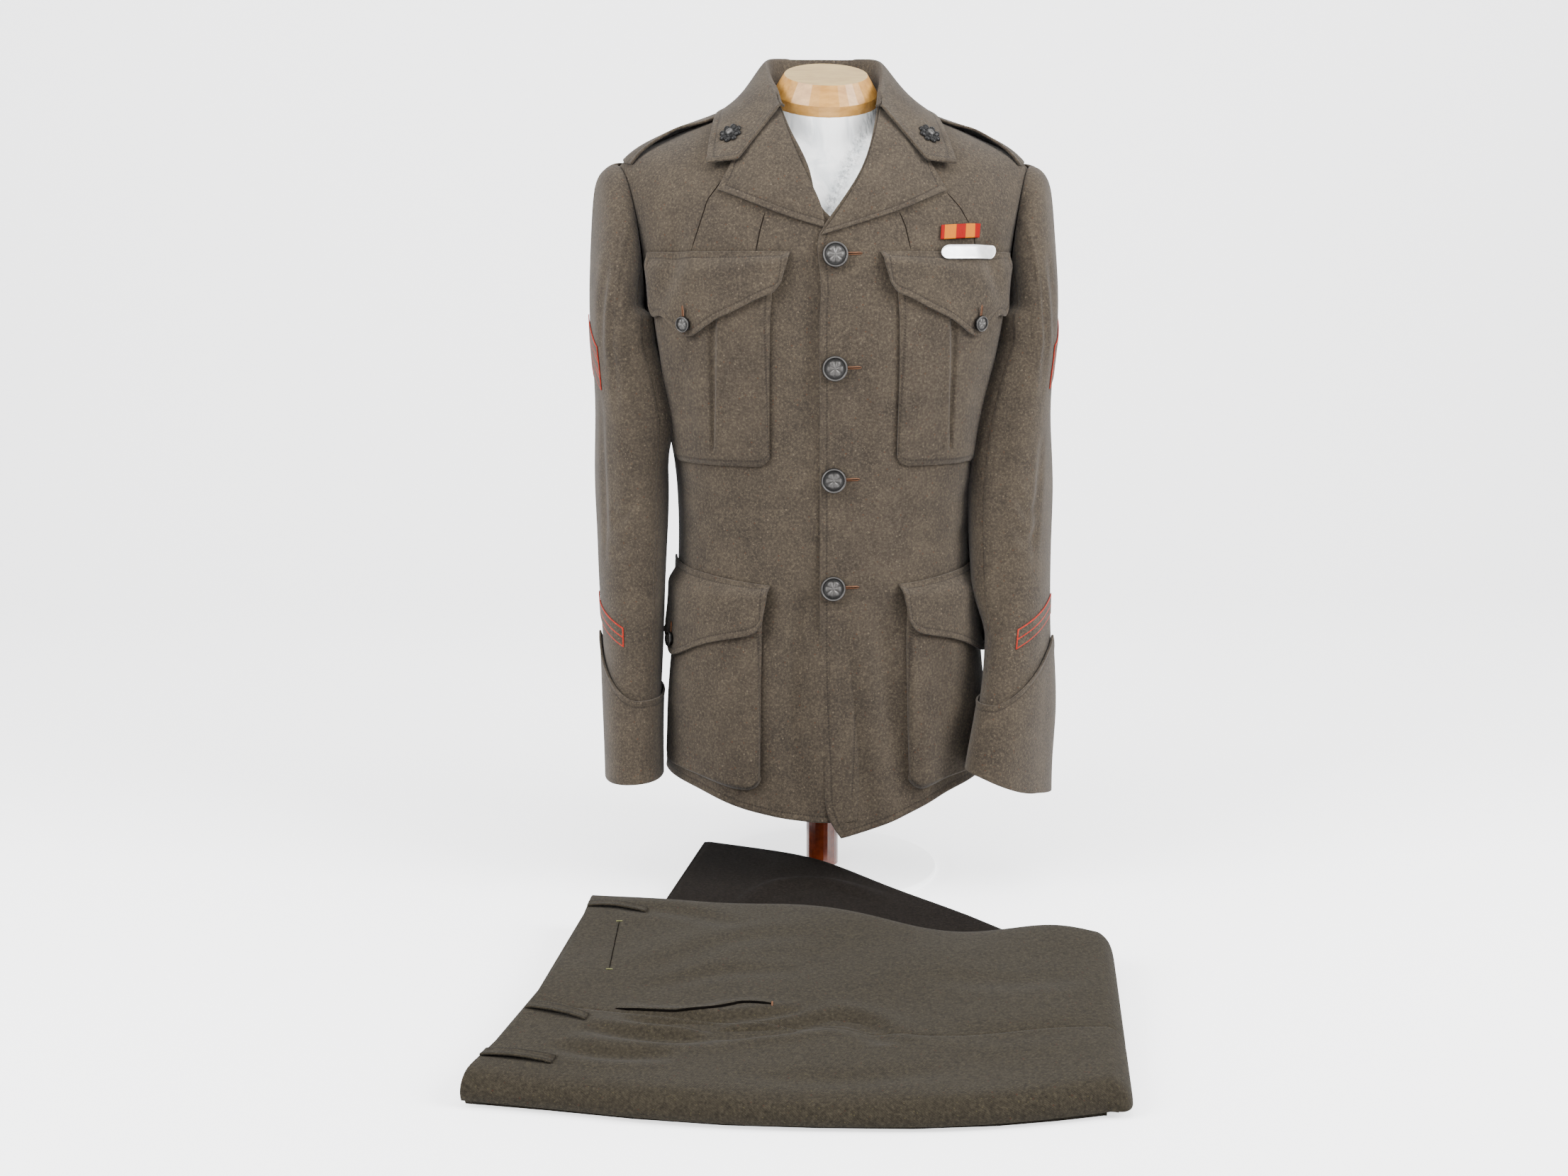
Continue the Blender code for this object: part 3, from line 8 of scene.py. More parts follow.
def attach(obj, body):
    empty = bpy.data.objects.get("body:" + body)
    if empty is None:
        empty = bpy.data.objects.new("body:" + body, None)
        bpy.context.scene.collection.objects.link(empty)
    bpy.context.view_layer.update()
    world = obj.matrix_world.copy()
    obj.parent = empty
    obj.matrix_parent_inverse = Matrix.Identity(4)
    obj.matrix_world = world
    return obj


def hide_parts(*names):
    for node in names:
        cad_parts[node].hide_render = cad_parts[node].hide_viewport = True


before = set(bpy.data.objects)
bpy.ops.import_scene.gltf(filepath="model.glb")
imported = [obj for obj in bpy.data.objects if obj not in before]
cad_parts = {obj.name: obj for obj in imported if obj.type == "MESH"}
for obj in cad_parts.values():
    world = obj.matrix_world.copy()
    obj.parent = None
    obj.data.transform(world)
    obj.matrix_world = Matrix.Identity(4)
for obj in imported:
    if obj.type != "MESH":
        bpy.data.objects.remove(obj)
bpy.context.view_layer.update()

# Metres, +Z up, the coat's front towards -Y and the wearer's left at +X
cloth = {"coat": 0.0020, "pocket": 0.0018, "trousers": 0.0016, "seam": 0.0003, "lay": 0.0006, "lap": 0.0007}
# The stitching line's distance from an edge, its width, how deep it sinks, and a cloth edge's rounding
stitchCut = {"at": 0.0062, "wide": 0.0011, "sink": 0.6, "none": 0.05, "corner": 0.15, "side": 0.22,
             "middle": 0.32}

# The coat's body: half width, front depth and back depth at each height, and the shoulder line
bodyCut = {
    "z":     (0.060, 0.130, 0.200, 0.290, 0.380, 0.460, 0.540, 0.600),
    "half":  (0.1700, 0.1665, 0.1625, 0.1560, 0.1520, 0.1570, 0.1720, 0.1840),
    "front": (0.1380, 0.1360, 0.1330, 0.1270, 0.1230, 0.1270, 0.1340, 0.1370),
    "back":  (0.1560, 0.1500, 0.1380, 0.1180, 0.1060, 0.1100, 0.1200, 0.1260),
    "frontPower": 2.5, "backPower": 2.4, "chestPower": 2.15,
    "armpit": 0.600, "tip": 0.2150, "tipEase": 1.5, "neck": 0.0615, "backNeckDrop": 19.0,
    "armholeFront": 0.036, "armholeBack": 0.070,
}
shoulderLine = {
    "x": (0.000, 0.045, 0.062, 0.090, 0.130, 0.170, 0.200, 0.2150),
    "z": (0.846, 0.838, 0.828, 0.811, 0.7935, 0.7755, 0.7600, 0.7470),
    "y": (0.030, 0.028, 0.026, 0.022, 0.016, 0.012, 0.010, 0.010),
}
# x of each front's edge below the armpit, and above it by the share of the way to the shoulder line
frontEdge = {
    "left":  {"z": (0.075, 0.090, 0.130, 0.210, 0.330, 0.600),
              "x": (0.0085, -0.0010, -0.0080, -0.0113, -0.0125, -0.0145),
              "rise": (0.00, 0.20, 0.34, 0.40, 0.56, 0.77, 0.90, 1.00),
              "highX": (-0.0145, -0.0145, -0.0135, -0.0040, 0.0232, 0.0420, 0.0505, 0.0615)},
    "right": {"z": (0.075, 0.130, 0.330, 0.600), "x": (-0.0240, -0.0270, -0.0300, -0.0300),
              "rise": (0.00, 0.20, 0.33, 0.40, 0.58, 0.77, 0.90, 1.00),
              "highX": (-0.0300, -0.0290, -0.0180, 0.0040, 0.0232, 0.0412, 0.0505, 0.0615)},
}
hemLine = {
    "left":  {"angle": (0, 6, 14, 30, 50, 90, 180),
              "z": (0.0755, 0.0810, 0.0890, 0.1060, 0.1180, 0.1240, 0.1300)},
    "right": {"angle": (0, 8, 30, 50, 90, 180), "z": (0.0930, 0.0945, 0.1070, 0.1180, 0.1240, 0.1300)},
}


# Basic shapes

def cubic(xs, ys, at):
    # natural cubic spline through the points, held at its ends
    xs, ys, at = np.asarray(xs, float), np.asarray(ys, float), np.asarray(at, float)
    n, step = len(xs), np.diff(xs)
    left, right = np.eye(n), np.zeros(n)
    for i in range(1, n - 1):
        left[i, i - 1:i + 2] = step[i - 1], 2 * (step[i - 1] + step[i]), step[i]
        right[i] = 6 * ((ys[i + 1] - ys[i]) / step[i] - (ys[i] - ys[i - 1]) / step[i - 1])
    bend = np.linalg.solve(left, right)
    t = np.clip(at, xs[0], xs[-1])
    i = np.clip(np.searchsorted(xs, t, side="right") - 1, 0, n - 2)
    lo, hi, w = xs[i + 1] - t, t - xs[i], step[i]
    return ((bend[i] * lo ** 3 + bend[i + 1] * hi ** 3) / (6 * w)
            + (ys[i] / w - bend[i] * w / 6) * lo + (ys[i + 1] / w - bend[i + 1] * w / 6) * hi)


def ease(low, high, value):
    # rises softly from 0 at low to 1 at high
    t = np.clip((np.asarray(value, float) - low) / (high - low), 0, 1)
    return t * t * (3 - 2 * t)


def signedPower(value, power):
    # the power of a value's size, with the value's own sign
    return np.sign(value) * np.abs(value) ** power


def spread(count, pull=0.85):
    # count shares from 0 to 1, closer together near both ends
    t = np.linspace(0, 1, count)
    return t - pull * np.sin(2 * np.pi * t) / (2 * np.pi)


def unit(v):
    # vectors over their own lengths
    return v / np.maximum(np.linalg.norm(v, axis=-1, keepdims=True), 1e-9)


def gridNormals(points, core):
    # cross product of the grid's two directions, turned away from the core on average
    normal = unit(np.cross(np.gradient(points, axis=0), np.gradient(points, axis=1)))
    facing = np.mean(np.sum(normal * (points - core), axis=-1))
    return normal if facing > 0 else -normal


def bodySizes(z):
    # half width, front depth and back depth at a height; above the armpit they keep the armpit's
    z = np.minimum(z, bodyCut["armpit"])
    return [cubic(bodyCut["z"], bodyCut[key], z) for key in ("half", "front", "back")]


def shoulderWidth(rise):
    # half width above the armpit: it widens to the shoulder's tip by a power of the rise
    half = float(bodySizes(bodyCut["armpit"])[0])
    return half + (bodyCut["tip"] - half) * np.clip(rise, 0, 1) ** bodyCut["tipEase"]


def bodyPoint(angle, z):
    # inner face of the coat: a superellipse in plan at each height, whose depth shrinks to the shoulder line
    angle, z = np.broadcast_arrays(np.asarray(angle, float), np.asarray(z, float))
    turn = np.radians(angle)
    half, front, back = bodySizes(z)
    ahead = np.cos(turn) >= 0
    power = np.where(ahead, bodyCut["frontPower"], bodyCut["backPower"])
    share = signedPower(np.sin(turn), 2 / power)
    depth = -np.where(ahead, front, -back) * np.abs(np.cos(turn)) ** (2 / power)
    rise, width, high = np.zeros_like(z), half, z > bodyCut["armpit"]
    for _ in range(8):
        line = cubic(shoulderLine["x"], shoulderLine["z"], np.abs(share) * width)
        rise = np.clip((z - bodyCut["armpit"]) / (line - bodyCut["armpit"]), 0, 1)
        width = np.where(high, shoulderWidth(rise), half)
    lineY = cubic(shoulderLine["x"], shoulderLine["y"], np.abs(share) * width)
    bend = np.maximum(1 - rise ** bodyCut["chestPower"], 0) ** (1 / bodyCut["chestPower"])
    return np.stack([share * width, np.where(high, lineY + (depth - lineY) * bend, depth), z], -1)


def bodyNormal(angle, z):
    # outward direction of the body: the cross product of a small step round it and a small step up
    across = bodyPoint(angle + 0.4, z) - bodyPoint(angle - 0.4, z)
    return unit(np.cross(across, bodyPoint(angle, z + 0.0015) - bodyPoint(angle, z - 0.0015)))


def offBody(angle, z, out):
    # points that stand off the coat's inner face by out, along its outward direction
    return bodyPoint(angle, z) + bodyNormal(angle, z) * np.asarray(out, float)[..., None]


def angleAt(x, z):
    # the angle from the centre front at which the front stands at x
    x, z = np.broadcast_arrays(np.asarray(x, float), np.asarray(z, float))
    line = cubic(shoulderLine["x"], shoulderLine["z"], np.abs(x))
    rise = np.clip((z - bodyCut["armpit"]) / (line - bodyCut["armpit"]), 0, 1)
    width = np.where(z > bodyCut["armpit"], shoulderWidth(rise), bodySizes(z)[0])
    return np.sign(x) * np.degrees(np.arcsin(np.clip(np.abs(x) / width, 0, 1) ** (bodyCut["frontPower"] / 2)))


def frontLap(x, z):
    # the wearer's left front lies on the right one near the centre
    return (cloth["coat"] + cloth["lap"]) * (1 - ease(0.036, 0.078, x)) * (1 - ease(0.715, 0.760, z))


def armholeShare(climb, face):
    # how far out the armhole's edge lies: 1 less a hollow that is deepest half way up
    depth = bodyCut["armholeFront"] if face == "front" else bodyCut["armholeBack"]
    return 1 - depth * np.abs(np.sin(math.pi * np.clip(climb, 0, 1))) ** 0.7


def chestPoint(share, turn, face):
    # chest or back above the armpit: turn is 0 at armpit height and 90 on the shoulder line
    rise = np.sin(np.radians(turn)) ** (2 / bodyCut["chestPower"])
    x = share * shoulderWidth(rise)
    depth = bodySizes(bodyCut["armpit"])[1 if face == "front" else 2]
    power = bodyCut["frontPower"] if face == "front" else bodyCut["backPower"]
    flat = depth * np.maximum(1 - np.abs(share) ** power, 0) ** (1 / power)
    lineY = cubic(shoulderLine["x"], shoulderLine["y"], np.abs(x))
    lineZ = cubic(shoulderLine["x"], shoulderLine["z"], np.abs(x))
    bend = np.cos(np.radians(turn)) ** (2 / bodyCut["chestPower"])
    y = lineY + ((-flat if face == "front" else flat) - lineY) * bend
    return np.stack([x, y, bodyCut["armpit"] + rise * (lineZ - bodyCut["armpit"])], -1)


# Meshes and materials

def hexLinear(code):
    # sRGB hex to linear red, green, blue and 1
    channel = np.array([int(code[i:i + 2], 16) / 255 for i in (0, 2, 4)])
    return (*np.where(channel <= 0.04045, channel / 12.92, ((channel + 0.055) / 1.055) ** 2.4), 1.0)


def addNode(tree, kind, settings=None, **links):
    # one node by its kind and, after a space, its operation or data type, with its settings by name
    # and each input linked to a socket or set to a value; i0, i1 and so on name inputs by number
    kind, *mode = kind.split()
    node = tree.nodes.new("ShaderNode" + kind)
    if mode:
        setattr(node, "data_type" if kind == "Mix" else "operation", mode[0])
    for key, value in (settings or {}).items():
        setattr(node, key, value)
    for key, value in links.items():
        number = key[0] == "i" and key[1:].isdigit()
        socket = node.inputs[int(key[1:]) if number else key.replace("_", " ")]
        if isinstance(value, bpy.types.NodeSocket):
            tree.links.new(value, socket)
        else:
            socket.default_value = value
    return node


def ramp(tree, value, stops):
    # colours or grey values by a value from 0 to 1, at the places given
    node = addNode(tree, "ValToRGB", Fac=value)
    ends = node.color_ramp.elements
    while len(ends) < len(stops):
        ends.new(0.5)
    for end, (place, colour) in zip(ends, stops):
        end.position = place
        end.color = hexLinear(colour) if isinstance(colour, str) else (colour, colour, colour, 1)
    return node.outputs[0]


def newMaterial(name, roughness, metallic=0.0):
    # an empty material, its node tree and its shader
    made = bpy.data.materials.new(name)
    made.use_nodes = True
    tree = made.node_tree
    shader = tree.nodes["Principled BSDF"]
    shader.inputs["Roughness"].default_value = roughness
    shader.inputs["Metallic"].default_value = metallic
    return made, tree, shader


def dress(tree, shader, tone, height=None, strength=0.4, depth=0.0002, **numbers):
    # tone goes to the base colour, height to a bump of that
    # strength and depth, and each number to its own input
    tree.links.new(tone, shader.inputs["Base Color"])
    if height is not None:
        bump = addNode(tree, "Bump", Height=height, Strength=strength, Distance=depth)
        tree.links.new(bump.outputs[0], shader.inputs["Normal"])
    for key, value in numbers.items():
        shader.inputs[key.replace("_", " ")].default_value = value


def addMesh(name, vertices, faces, finish, uv=None, stitch=None):
    # a mesh straight from arrays, with a cloth map in metres and a map of edge distance and run
    mesh = bpy.data.meshes.new(name)
    mesh.from_pydata(np.asarray(vertices, float).reshape(-1, 3), [], faces)
    corner = np.empty(len(mesh.loops), dtype=np.int32)
    mesh.loops.foreach_get("vertex_index", corner)
    for label, values in (("cloth", uv), ("edge", stitch)):
        if values is not None:
            layer = mesh.uv_layers.new(name=label)
            layer.data.foreach_set("uv", np.asarray(values, np.float32)[corner].ravel())
    mesh.shade_smooth()
    mesh.materials.append(finish)
    made = bpy.data.objects.new(name, mesh)
    bpy.context.scene.collection.objects.link(made)
    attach(made, "root")
    return made


def quadGrid(rows, columns, start=0, flip=False):
    # four corners of each cell of a grid whose vertices are numbered row by row
    i, j = np.meshgrid(np.arange(rows - 1), np.arange(columns - 1), indexing="ij")
    a, b = i * columns + j, (i + 1) * columns + j
    quads = np.stack([a, b, b + 1, a + 1], -1).reshape(-1, 4) + start
    return quads[:, ::-1] if flip else quads


def arcLengths(points):
    # running lengths of a grid along its two directions
    along = np.linalg.norm(np.diff(points, axis=0), axis=-1)
    up = np.linalg.norm(np.diff(points, axis=1), axis=-1)
    u = np.concatenate([np.zeros((1, points.shape[1])), np.cumsum(along, axis=0)])
    v = np.concatenate([np.zeros((points.shape[0], 1)), np.cumsum(up, axis=1)], axis=1)
    return u, v


def clothWall(name, inner, wall, finish, core, node=None, relief=None, stitched="", welt=0.0006,
              lines=None):
    # closed wall of cloth: inner grid, outer grid moved out
    # by the wall and the relief, and a rounded rim between
    normals = gridNormals(inner, core)
    rows, columns = inner.shape[:2]
    u, v = arcLengths(inner)
    far = {"a": u, "b": u[-1:] - u, "c": v, "d": v[:, -1:] - v}
    edge = np.min([far[key] for key in stitched], axis=0) if stitched else np.full(u.shape, stitchCut["none"])
    run = np.where(np.minimum(far["a"], far["b"]) < np.minimum(far["c"], far["d"]), v, u)
    push = np.zeros(u.shape) if relief is None else relief
    sunk = stitchCut["sink"] * np.exp(-((edge - stitchCut["at"]) / stitchCut["wide"]) ** 2)
    lift = welt * (1 - ease(0.0, stitchCut["at"], edge)) - welt * sunk
    base = inner + normals * push[..., None]
    outer = base + normals * (wall + lift * bool(stitched))[..., None]
    ring = np.concatenate([np.arange(columns), columns - 1 + columns * np.arange(1, rows),
                           columns * (rows - 1) + np.arange(columns - 2, -1, -1),
                           columns * np.arange(rows - 2, 0, -1)])
    flatOuter, flatInner = outer.reshape(-1, 3), base.reshape(-1, 3)
    middle = (flatOuter[ring] + flatInner[ring]) / 2
    away = np.zeros_like(inner)
    away[0] += inner[0] - inner[1]
    away[-1] += inner[-1] - inner[-2]
    away[:, 0] += unit(inner[:, 0] - inner[:, 1]) * np.linalg.norm(inner[0] - inner[1], axis=-1).mean()
    away[:, -1] += unit(inner[:, -1] - inner[:, -2]) * np.linalg.norm(inner[0] - inner[1], axis=-1).mean()
    away = unit(away.reshape(-1, 3)[ring])
    corner = (flatOuter[ring] - flatInner[ring]) * stitchCut["corner"]
    beside = away * wall * stitchCut["side"]
    rims = [flatOuter[ring] - corner + beside, middle + away * wall * stitchCut["middle"],
            flatInner[ring] + corner + beside]
    count, around = rows * columns, len(ring)
    vertices = np.concatenate([flatOuter, flatInner, *rims])
    sample = np.cross(outer[1, 0] - outer[0, 0], outer[0, 1] - outer[0, 0])
    outwards = np.dot(sample, normals[0, 0]) > 0
    faces = [quadGrid(rows, columns, 0, flip=not outwards), quadGrid(rows, columns, count, flip=outwards)]
    loops = [ring, *(2 * count + k * around + np.arange(around) for k in range(3)), ring + count]
    for first, second in zip(loops, loops[1:]):
        quads = np.stack([first, second, np.roll(second, -1), np.roll(first, -1)], -1)
        faces.append(quads[:, ::-1] if outwards else quads)
    maps = np.stack([u, v], -1).reshape(-1, 2)
    stitches = np.stack([edge if lines is None else lines, run], -1).reshape(-1, 2)
    both = lambda m: np.concatenate([m, m, m[ring], m[ring], m[ring]])
    piece = addMesh(name, vertices, np.concatenate(faces).tolist(), finish, both(maps), both(stitches))
    if node:
        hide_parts(*([node] if isinstance(node, str) else node))
    return piece


def mirrored(points):
    # the wearer's right half is the left one with x turned round
    return points * np.array([-1.0, 1.0, 1.0])


def asCut(points):
    # the wearer's left half, whose points are made as they are
    return points


sides = {"left": asCut, "right": mirrored}


def axisCore(points):
    # for each point the one at its height on the upright axis
    return points * np.array([0.0, 0.0, 1.0])


def fold(wide, deep, *path, ridge=0.45):
    # one crease: its half width, its depth (less than 0 is
    # a ridge), the points it follows, the ridge beside it
    return {"path": path, "wide": wide, "deep": deep, "ridge": ridge}


def creases(a, b, lines):
    # soft uneven troughs: each follows its path, deepest
    # along it, with a low ridge beside it and tapered ends
    total = np.zeros(np.broadcast(a, b).shape)
    for line in lines:
        path = np.array(line["path"], float)
        share = np.linspace(0, 1, len(path))
        fine = np.linspace(0, 1, 14)
        curve = np.stack([cubic(share, path[:, k], fine) for k in (0, 1)], -1)
        best, along, side = np.full(total.shape, 9.0), np.zeros(total.shape), np.zeros(total.shape)
        for i in range(len(curve) - 1):
            step = curve[i + 1] - curve[i]
            t = np.clip(((a - curve[i, 0]) * step[0] + (b - curve[i, 1]) * step[1]) / (step @ step), 0, 1)
            da, db = a - curve[i, 0] - t * step[0], b - curve[i, 1] - t * step[1]
            gap = np.hypot(da, db)
            near = gap < best
            best = np.where(near, gap, best)
            along = np.where(near, (i + t) / (len(curve) - 1), along)
            side = np.where(near, (step[0] * db - step[1] * da) / np.linalg.norm(step), side)
        fade = np.sin(math.pi * np.clip(along, 0, 1)) ** 0.6
        wide = line["wide"]
        ridge = line["ridge"] * (0.72 + 0.28 * np.tanh(side / wide))
        total += fade * line["deep"] * (ridge * np.exp(-((best - 1.7 * wide) / wide) ** 2)
                                        - np.exp(-(best / wide) ** 2))
    return total


def strip(name, path, normals, width, height, finish, taper=0.15):
    # a low rounded strip along a path: thread, a seam's sunk line or a slit, lying on the cloth
    path, normals = np.asarray(path, float), unit(np.asarray(normals, float))
    forward = unit(np.gradient(path, axis=0))
    aside = unit(np.cross(forward, normals))
    turn = np.linspace(0, 2 * math.pi, 8, endpoint=False)
    share = np.linspace(0, 1, len(path))
    fade = np.clip(np.minimum(share, 1 - share) / taper, 0.12, 1) ** 0.5
    ring = (aside[:, None] * np.cos(turn)[None, :, None] * width / 2 * fade[:, None, None]
            + normals[:, None] * np.sin(turn)[None, :, None] * height / 2 * fade[:, None, None])
    points = (path + normals * height * 0.25)[:, None] + ring
    rows, around = points.shape[:2]
    i, j = np.meshgrid(np.arange(rows - 1), np.arange(around), indexing="ij")
    a, b = i * around + j, i * around + (j + 1) % around
    quads = np.stack([a, b, b + around, a + around], -1).reshape(-1, 4).tolist()
    vertices = np.concatenate([points.reshape(-1, 3), path[:1], path[-1:]])
    first, last = rows * around, rows * around + 1
    ends = [(first, (k + 1) % around, k) for k in range(around)]
    ends += [(last, (rows - 1) * around + k, (rows - 1) * around + (k + 1) % around) for k in range(around)]
    fixOutwards(addMesh(name, vertices, quads + ends, finish))


def fixOutwards(piece):
    # a closed mesh whose signed volume is negative is turned right side out
    mesh = piece.data
    mesh.calc_loop_triangles()
    corner = np.empty(len(mesh.loop_triangles) * 3, dtype=np.int32)
    mesh.loop_triangles.foreach_get("vertices", corner)
    where = np.empty(len(mesh.vertices) * 3, dtype=np.float32)
    mesh.vertices.foreach_get("co", where)
    a, b, c = (where.reshape(-1, 3)[corner.reshape(-1, 3)[:, k]] for k in range(3))
    if np.einsum("ij,ij->", a - a.mean(axis=0), np.cross(b - a, c - a)) < 0 and len(a):
        mesh.flip_normals()


def turnedPiece(name, shape, place, axis, finish, node=None, around=72):
    # a round piece: rows of radius and height by the angle round it, from the middle of its face to its back
    turn = np.linspace(0, 2 * math.pi, around, endpoint=False)
    radius, height = shape(turn)
    axis = unit(np.asarray(axis, float))
    up = np.array([0.0, 0.0, 1.0]) if abs(axis[2]) < 0.9 else np.array([0.0, 1.0, 0.0])
    across = unit(np.cross(up, axis))
    rise = np.cross(axis, across)
    points = (np.asarray(place, float) + across * (radius * np.cos(turn))[..., None]
              + rise * (radius * np.sin(turn))[..., None] + axis * height[..., None])
    rows = points.shape[0]
    i, j = np.meshgrid(np.arange(rows - 1), np.arange(around), indexing="ij")
    a, b = i * around + j, i * around + (j + 1) % around
    quads = np.stack([a, a + around, b + around, b], -1).reshape(-1, 4).tolist()
    poles = np.stack([points[0].mean(axis=0), points[-1].mean(axis=0)])
    first, last = rows * around, rows * around + 1
    ends = [(first, k, (k + 1) % around) for k in range(around)]
    ends += [(last, (rows - 1) * around + (k + 1) % around, (rows - 1) * around + k) for k in range(around)]
    worn = np.append(np.clip((height / height.max() - 0.55) / 0.45, 0, 1).ravel(), [1.0, 0.0])
    made = addMesh(name, np.concatenate([points.reshape(-1, 3), poles]), quads + ends, finish,
                   uv=np.stack([worn, worn], -1))
    fixOutwards(made)
    if node:
        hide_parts(node)
    return made


def nodeDisc(nodeName):
    # middle of the back and outward axis of a round CAD node:
    # its thinnest direction, away from the coat's middle
    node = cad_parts[nodeName]
    points = np.array([node.matrix_world @ v.co for v in node.data.vertices])
    middle = points.mean(axis=0)
    axis = np.linalg.svd(points - middle)[2][2]
    axis = axis if axis @ (middle * np.array([1, 1, 0]) + np.array([0, 0, 0.03])) > 0 else -axis
    return middle + axis * np.min((points - middle) @ axis), axis


# Creases of the coat, by x and height for the picture's two halves, deepest first
coatCreases = {
    "left": [    # wearer's left, the picture's right
        fold(0.010, 0.0030, (0.178, 0.615), (0.160, 0.655), (0.148, 0.700)),
        fold(0.009, 0.0018, (0.150, 0.425), (0.105, 0.405), (0.055, 0.410)),
        fold(0.008, 0.0016, (0.150, 0.385), (0.110, 0.372), (0.070, 0.385)),
        fold(0.015, 0.0066, (0.050, 0.320), (0.060, 0.220), (0.078, 0.090)),
        fold(0.011, 0.0046, (0.010, 0.300), (0.020, 0.200), (0.034, 0.090)),
        fold(0.010, 0.0016, (0.030, 0.560), (0.026, 0.500), (0.034, 0.440)),
        fold(0.012, 0.0020, (0.155, 0.560), (0.150, 0.500), (0.142, 0.450)),
    ],
    "right": [   # wearer's right, the picture's left, by the same positive x
        fold(0.010, 0.0032, (0.178, 0.610), (0.158, 0.650), (0.150, 0.705)),
        fold(0.009, 0.0017, (0.150, 0.430), (0.100, 0.412), (0.050, 0.420)),
        fold(0.008, 0.0015, (0.148, 0.395), (0.100, 0.378), (0.060, 0.385)),
        fold(0.013, 0.0086, (0.028, 0.335), (0.036, 0.220), (0.030, 0.090)),
        fold(0.010, 0.0034, (0.026, 0.660), (0.023, 0.550), (0.028, 0.430)),
        fold(0.012, 0.0020, (0.150, 0.565), (0.146, 0.510), (0.140, 0.450)),
    ],
    "backs": [
        fold(0.011, 0.0030, (0.160, 0.430), (0.100, 0.405), (0.030, 0.415)),
        fold(0.010, 0.0026, (0.155, 0.385), (0.100, 0.368), (0.040, 0.375)),
        fold(0.013, 0.0034, (0.170, 0.600), (0.130, 0.650), (0.110, 0.720)),
        fold(0.020, 0.0036, (0.060, 0.330), (0.072, 0.240), (0.078, 0.140)),
        fold(0.016, 0.0030, (0.120, 0.320), (0.128, 0.230), (0.130, 0.140)),
        fold(0.010, 0.0016, (0.020, 0.800), (0.060, 0.785), (0.100, 0.770)),
    ],
}


def coatRelief(points, side):
    # creases by the mirrored x and height, plus slow waves that differ on the two sides
    x, y, z = points[..., 0], points[..., 1], points[..., 2]
    part = "backs" if np.mean(y) > 0 else side
    wide = np.abs(x)
    skew = 0.7 if side == "left" else 0.0
    slow = 0.0006 * np.sin(31 * wide + 17 * z + skew * 3) + 0.0005 * np.sin(48 * z - 23 * wide + 1.3 + skew)
    flute = 0.0024 * np.sin(2 * math.pi * (wide / 0.085) + 0.6 + skew * 2) * (1 - ease(0.10, 0.34, z))
    seam = np.abs(np.degrees(np.arctan2(wide, -y)) - 90)
    armhole = ease(0.160, 0.182, wide) * ease(0.56, 0.62, z)
    hold = ease(0.0, 9.0, seam) * ease(0.0, 0.03, 0.86 - z) * (1 - armhole)
    return (creases(wide, z, coatCreases[part]) + slow + flute) * hold


def chestPath(path, out, side):
    # points on the front at x and height, standing off its lining by out, and their outward directions
    fine = np.linspace(0, len(path) - 1, 24)
    x, z = (np.interp(fine, range(len(path)), column) for column in zip(*path))
    angle = angleAt(x, z)
    normal = bodyNormal(angle, z)
    lap = frontLap(x, z) if side == "left" else 0
    relief = coatRelief(bodyPoint(angle, z)[None], side)[0]
    return bodyPoint(angle, z) + normal * (out + lap + relief)[:, None], normal


# Finishes

bandStep = 0.314   # metres from band to band of a wave texture at scale 1
ribbonCut = {"long": 0.0405, "rib": 0.0011}


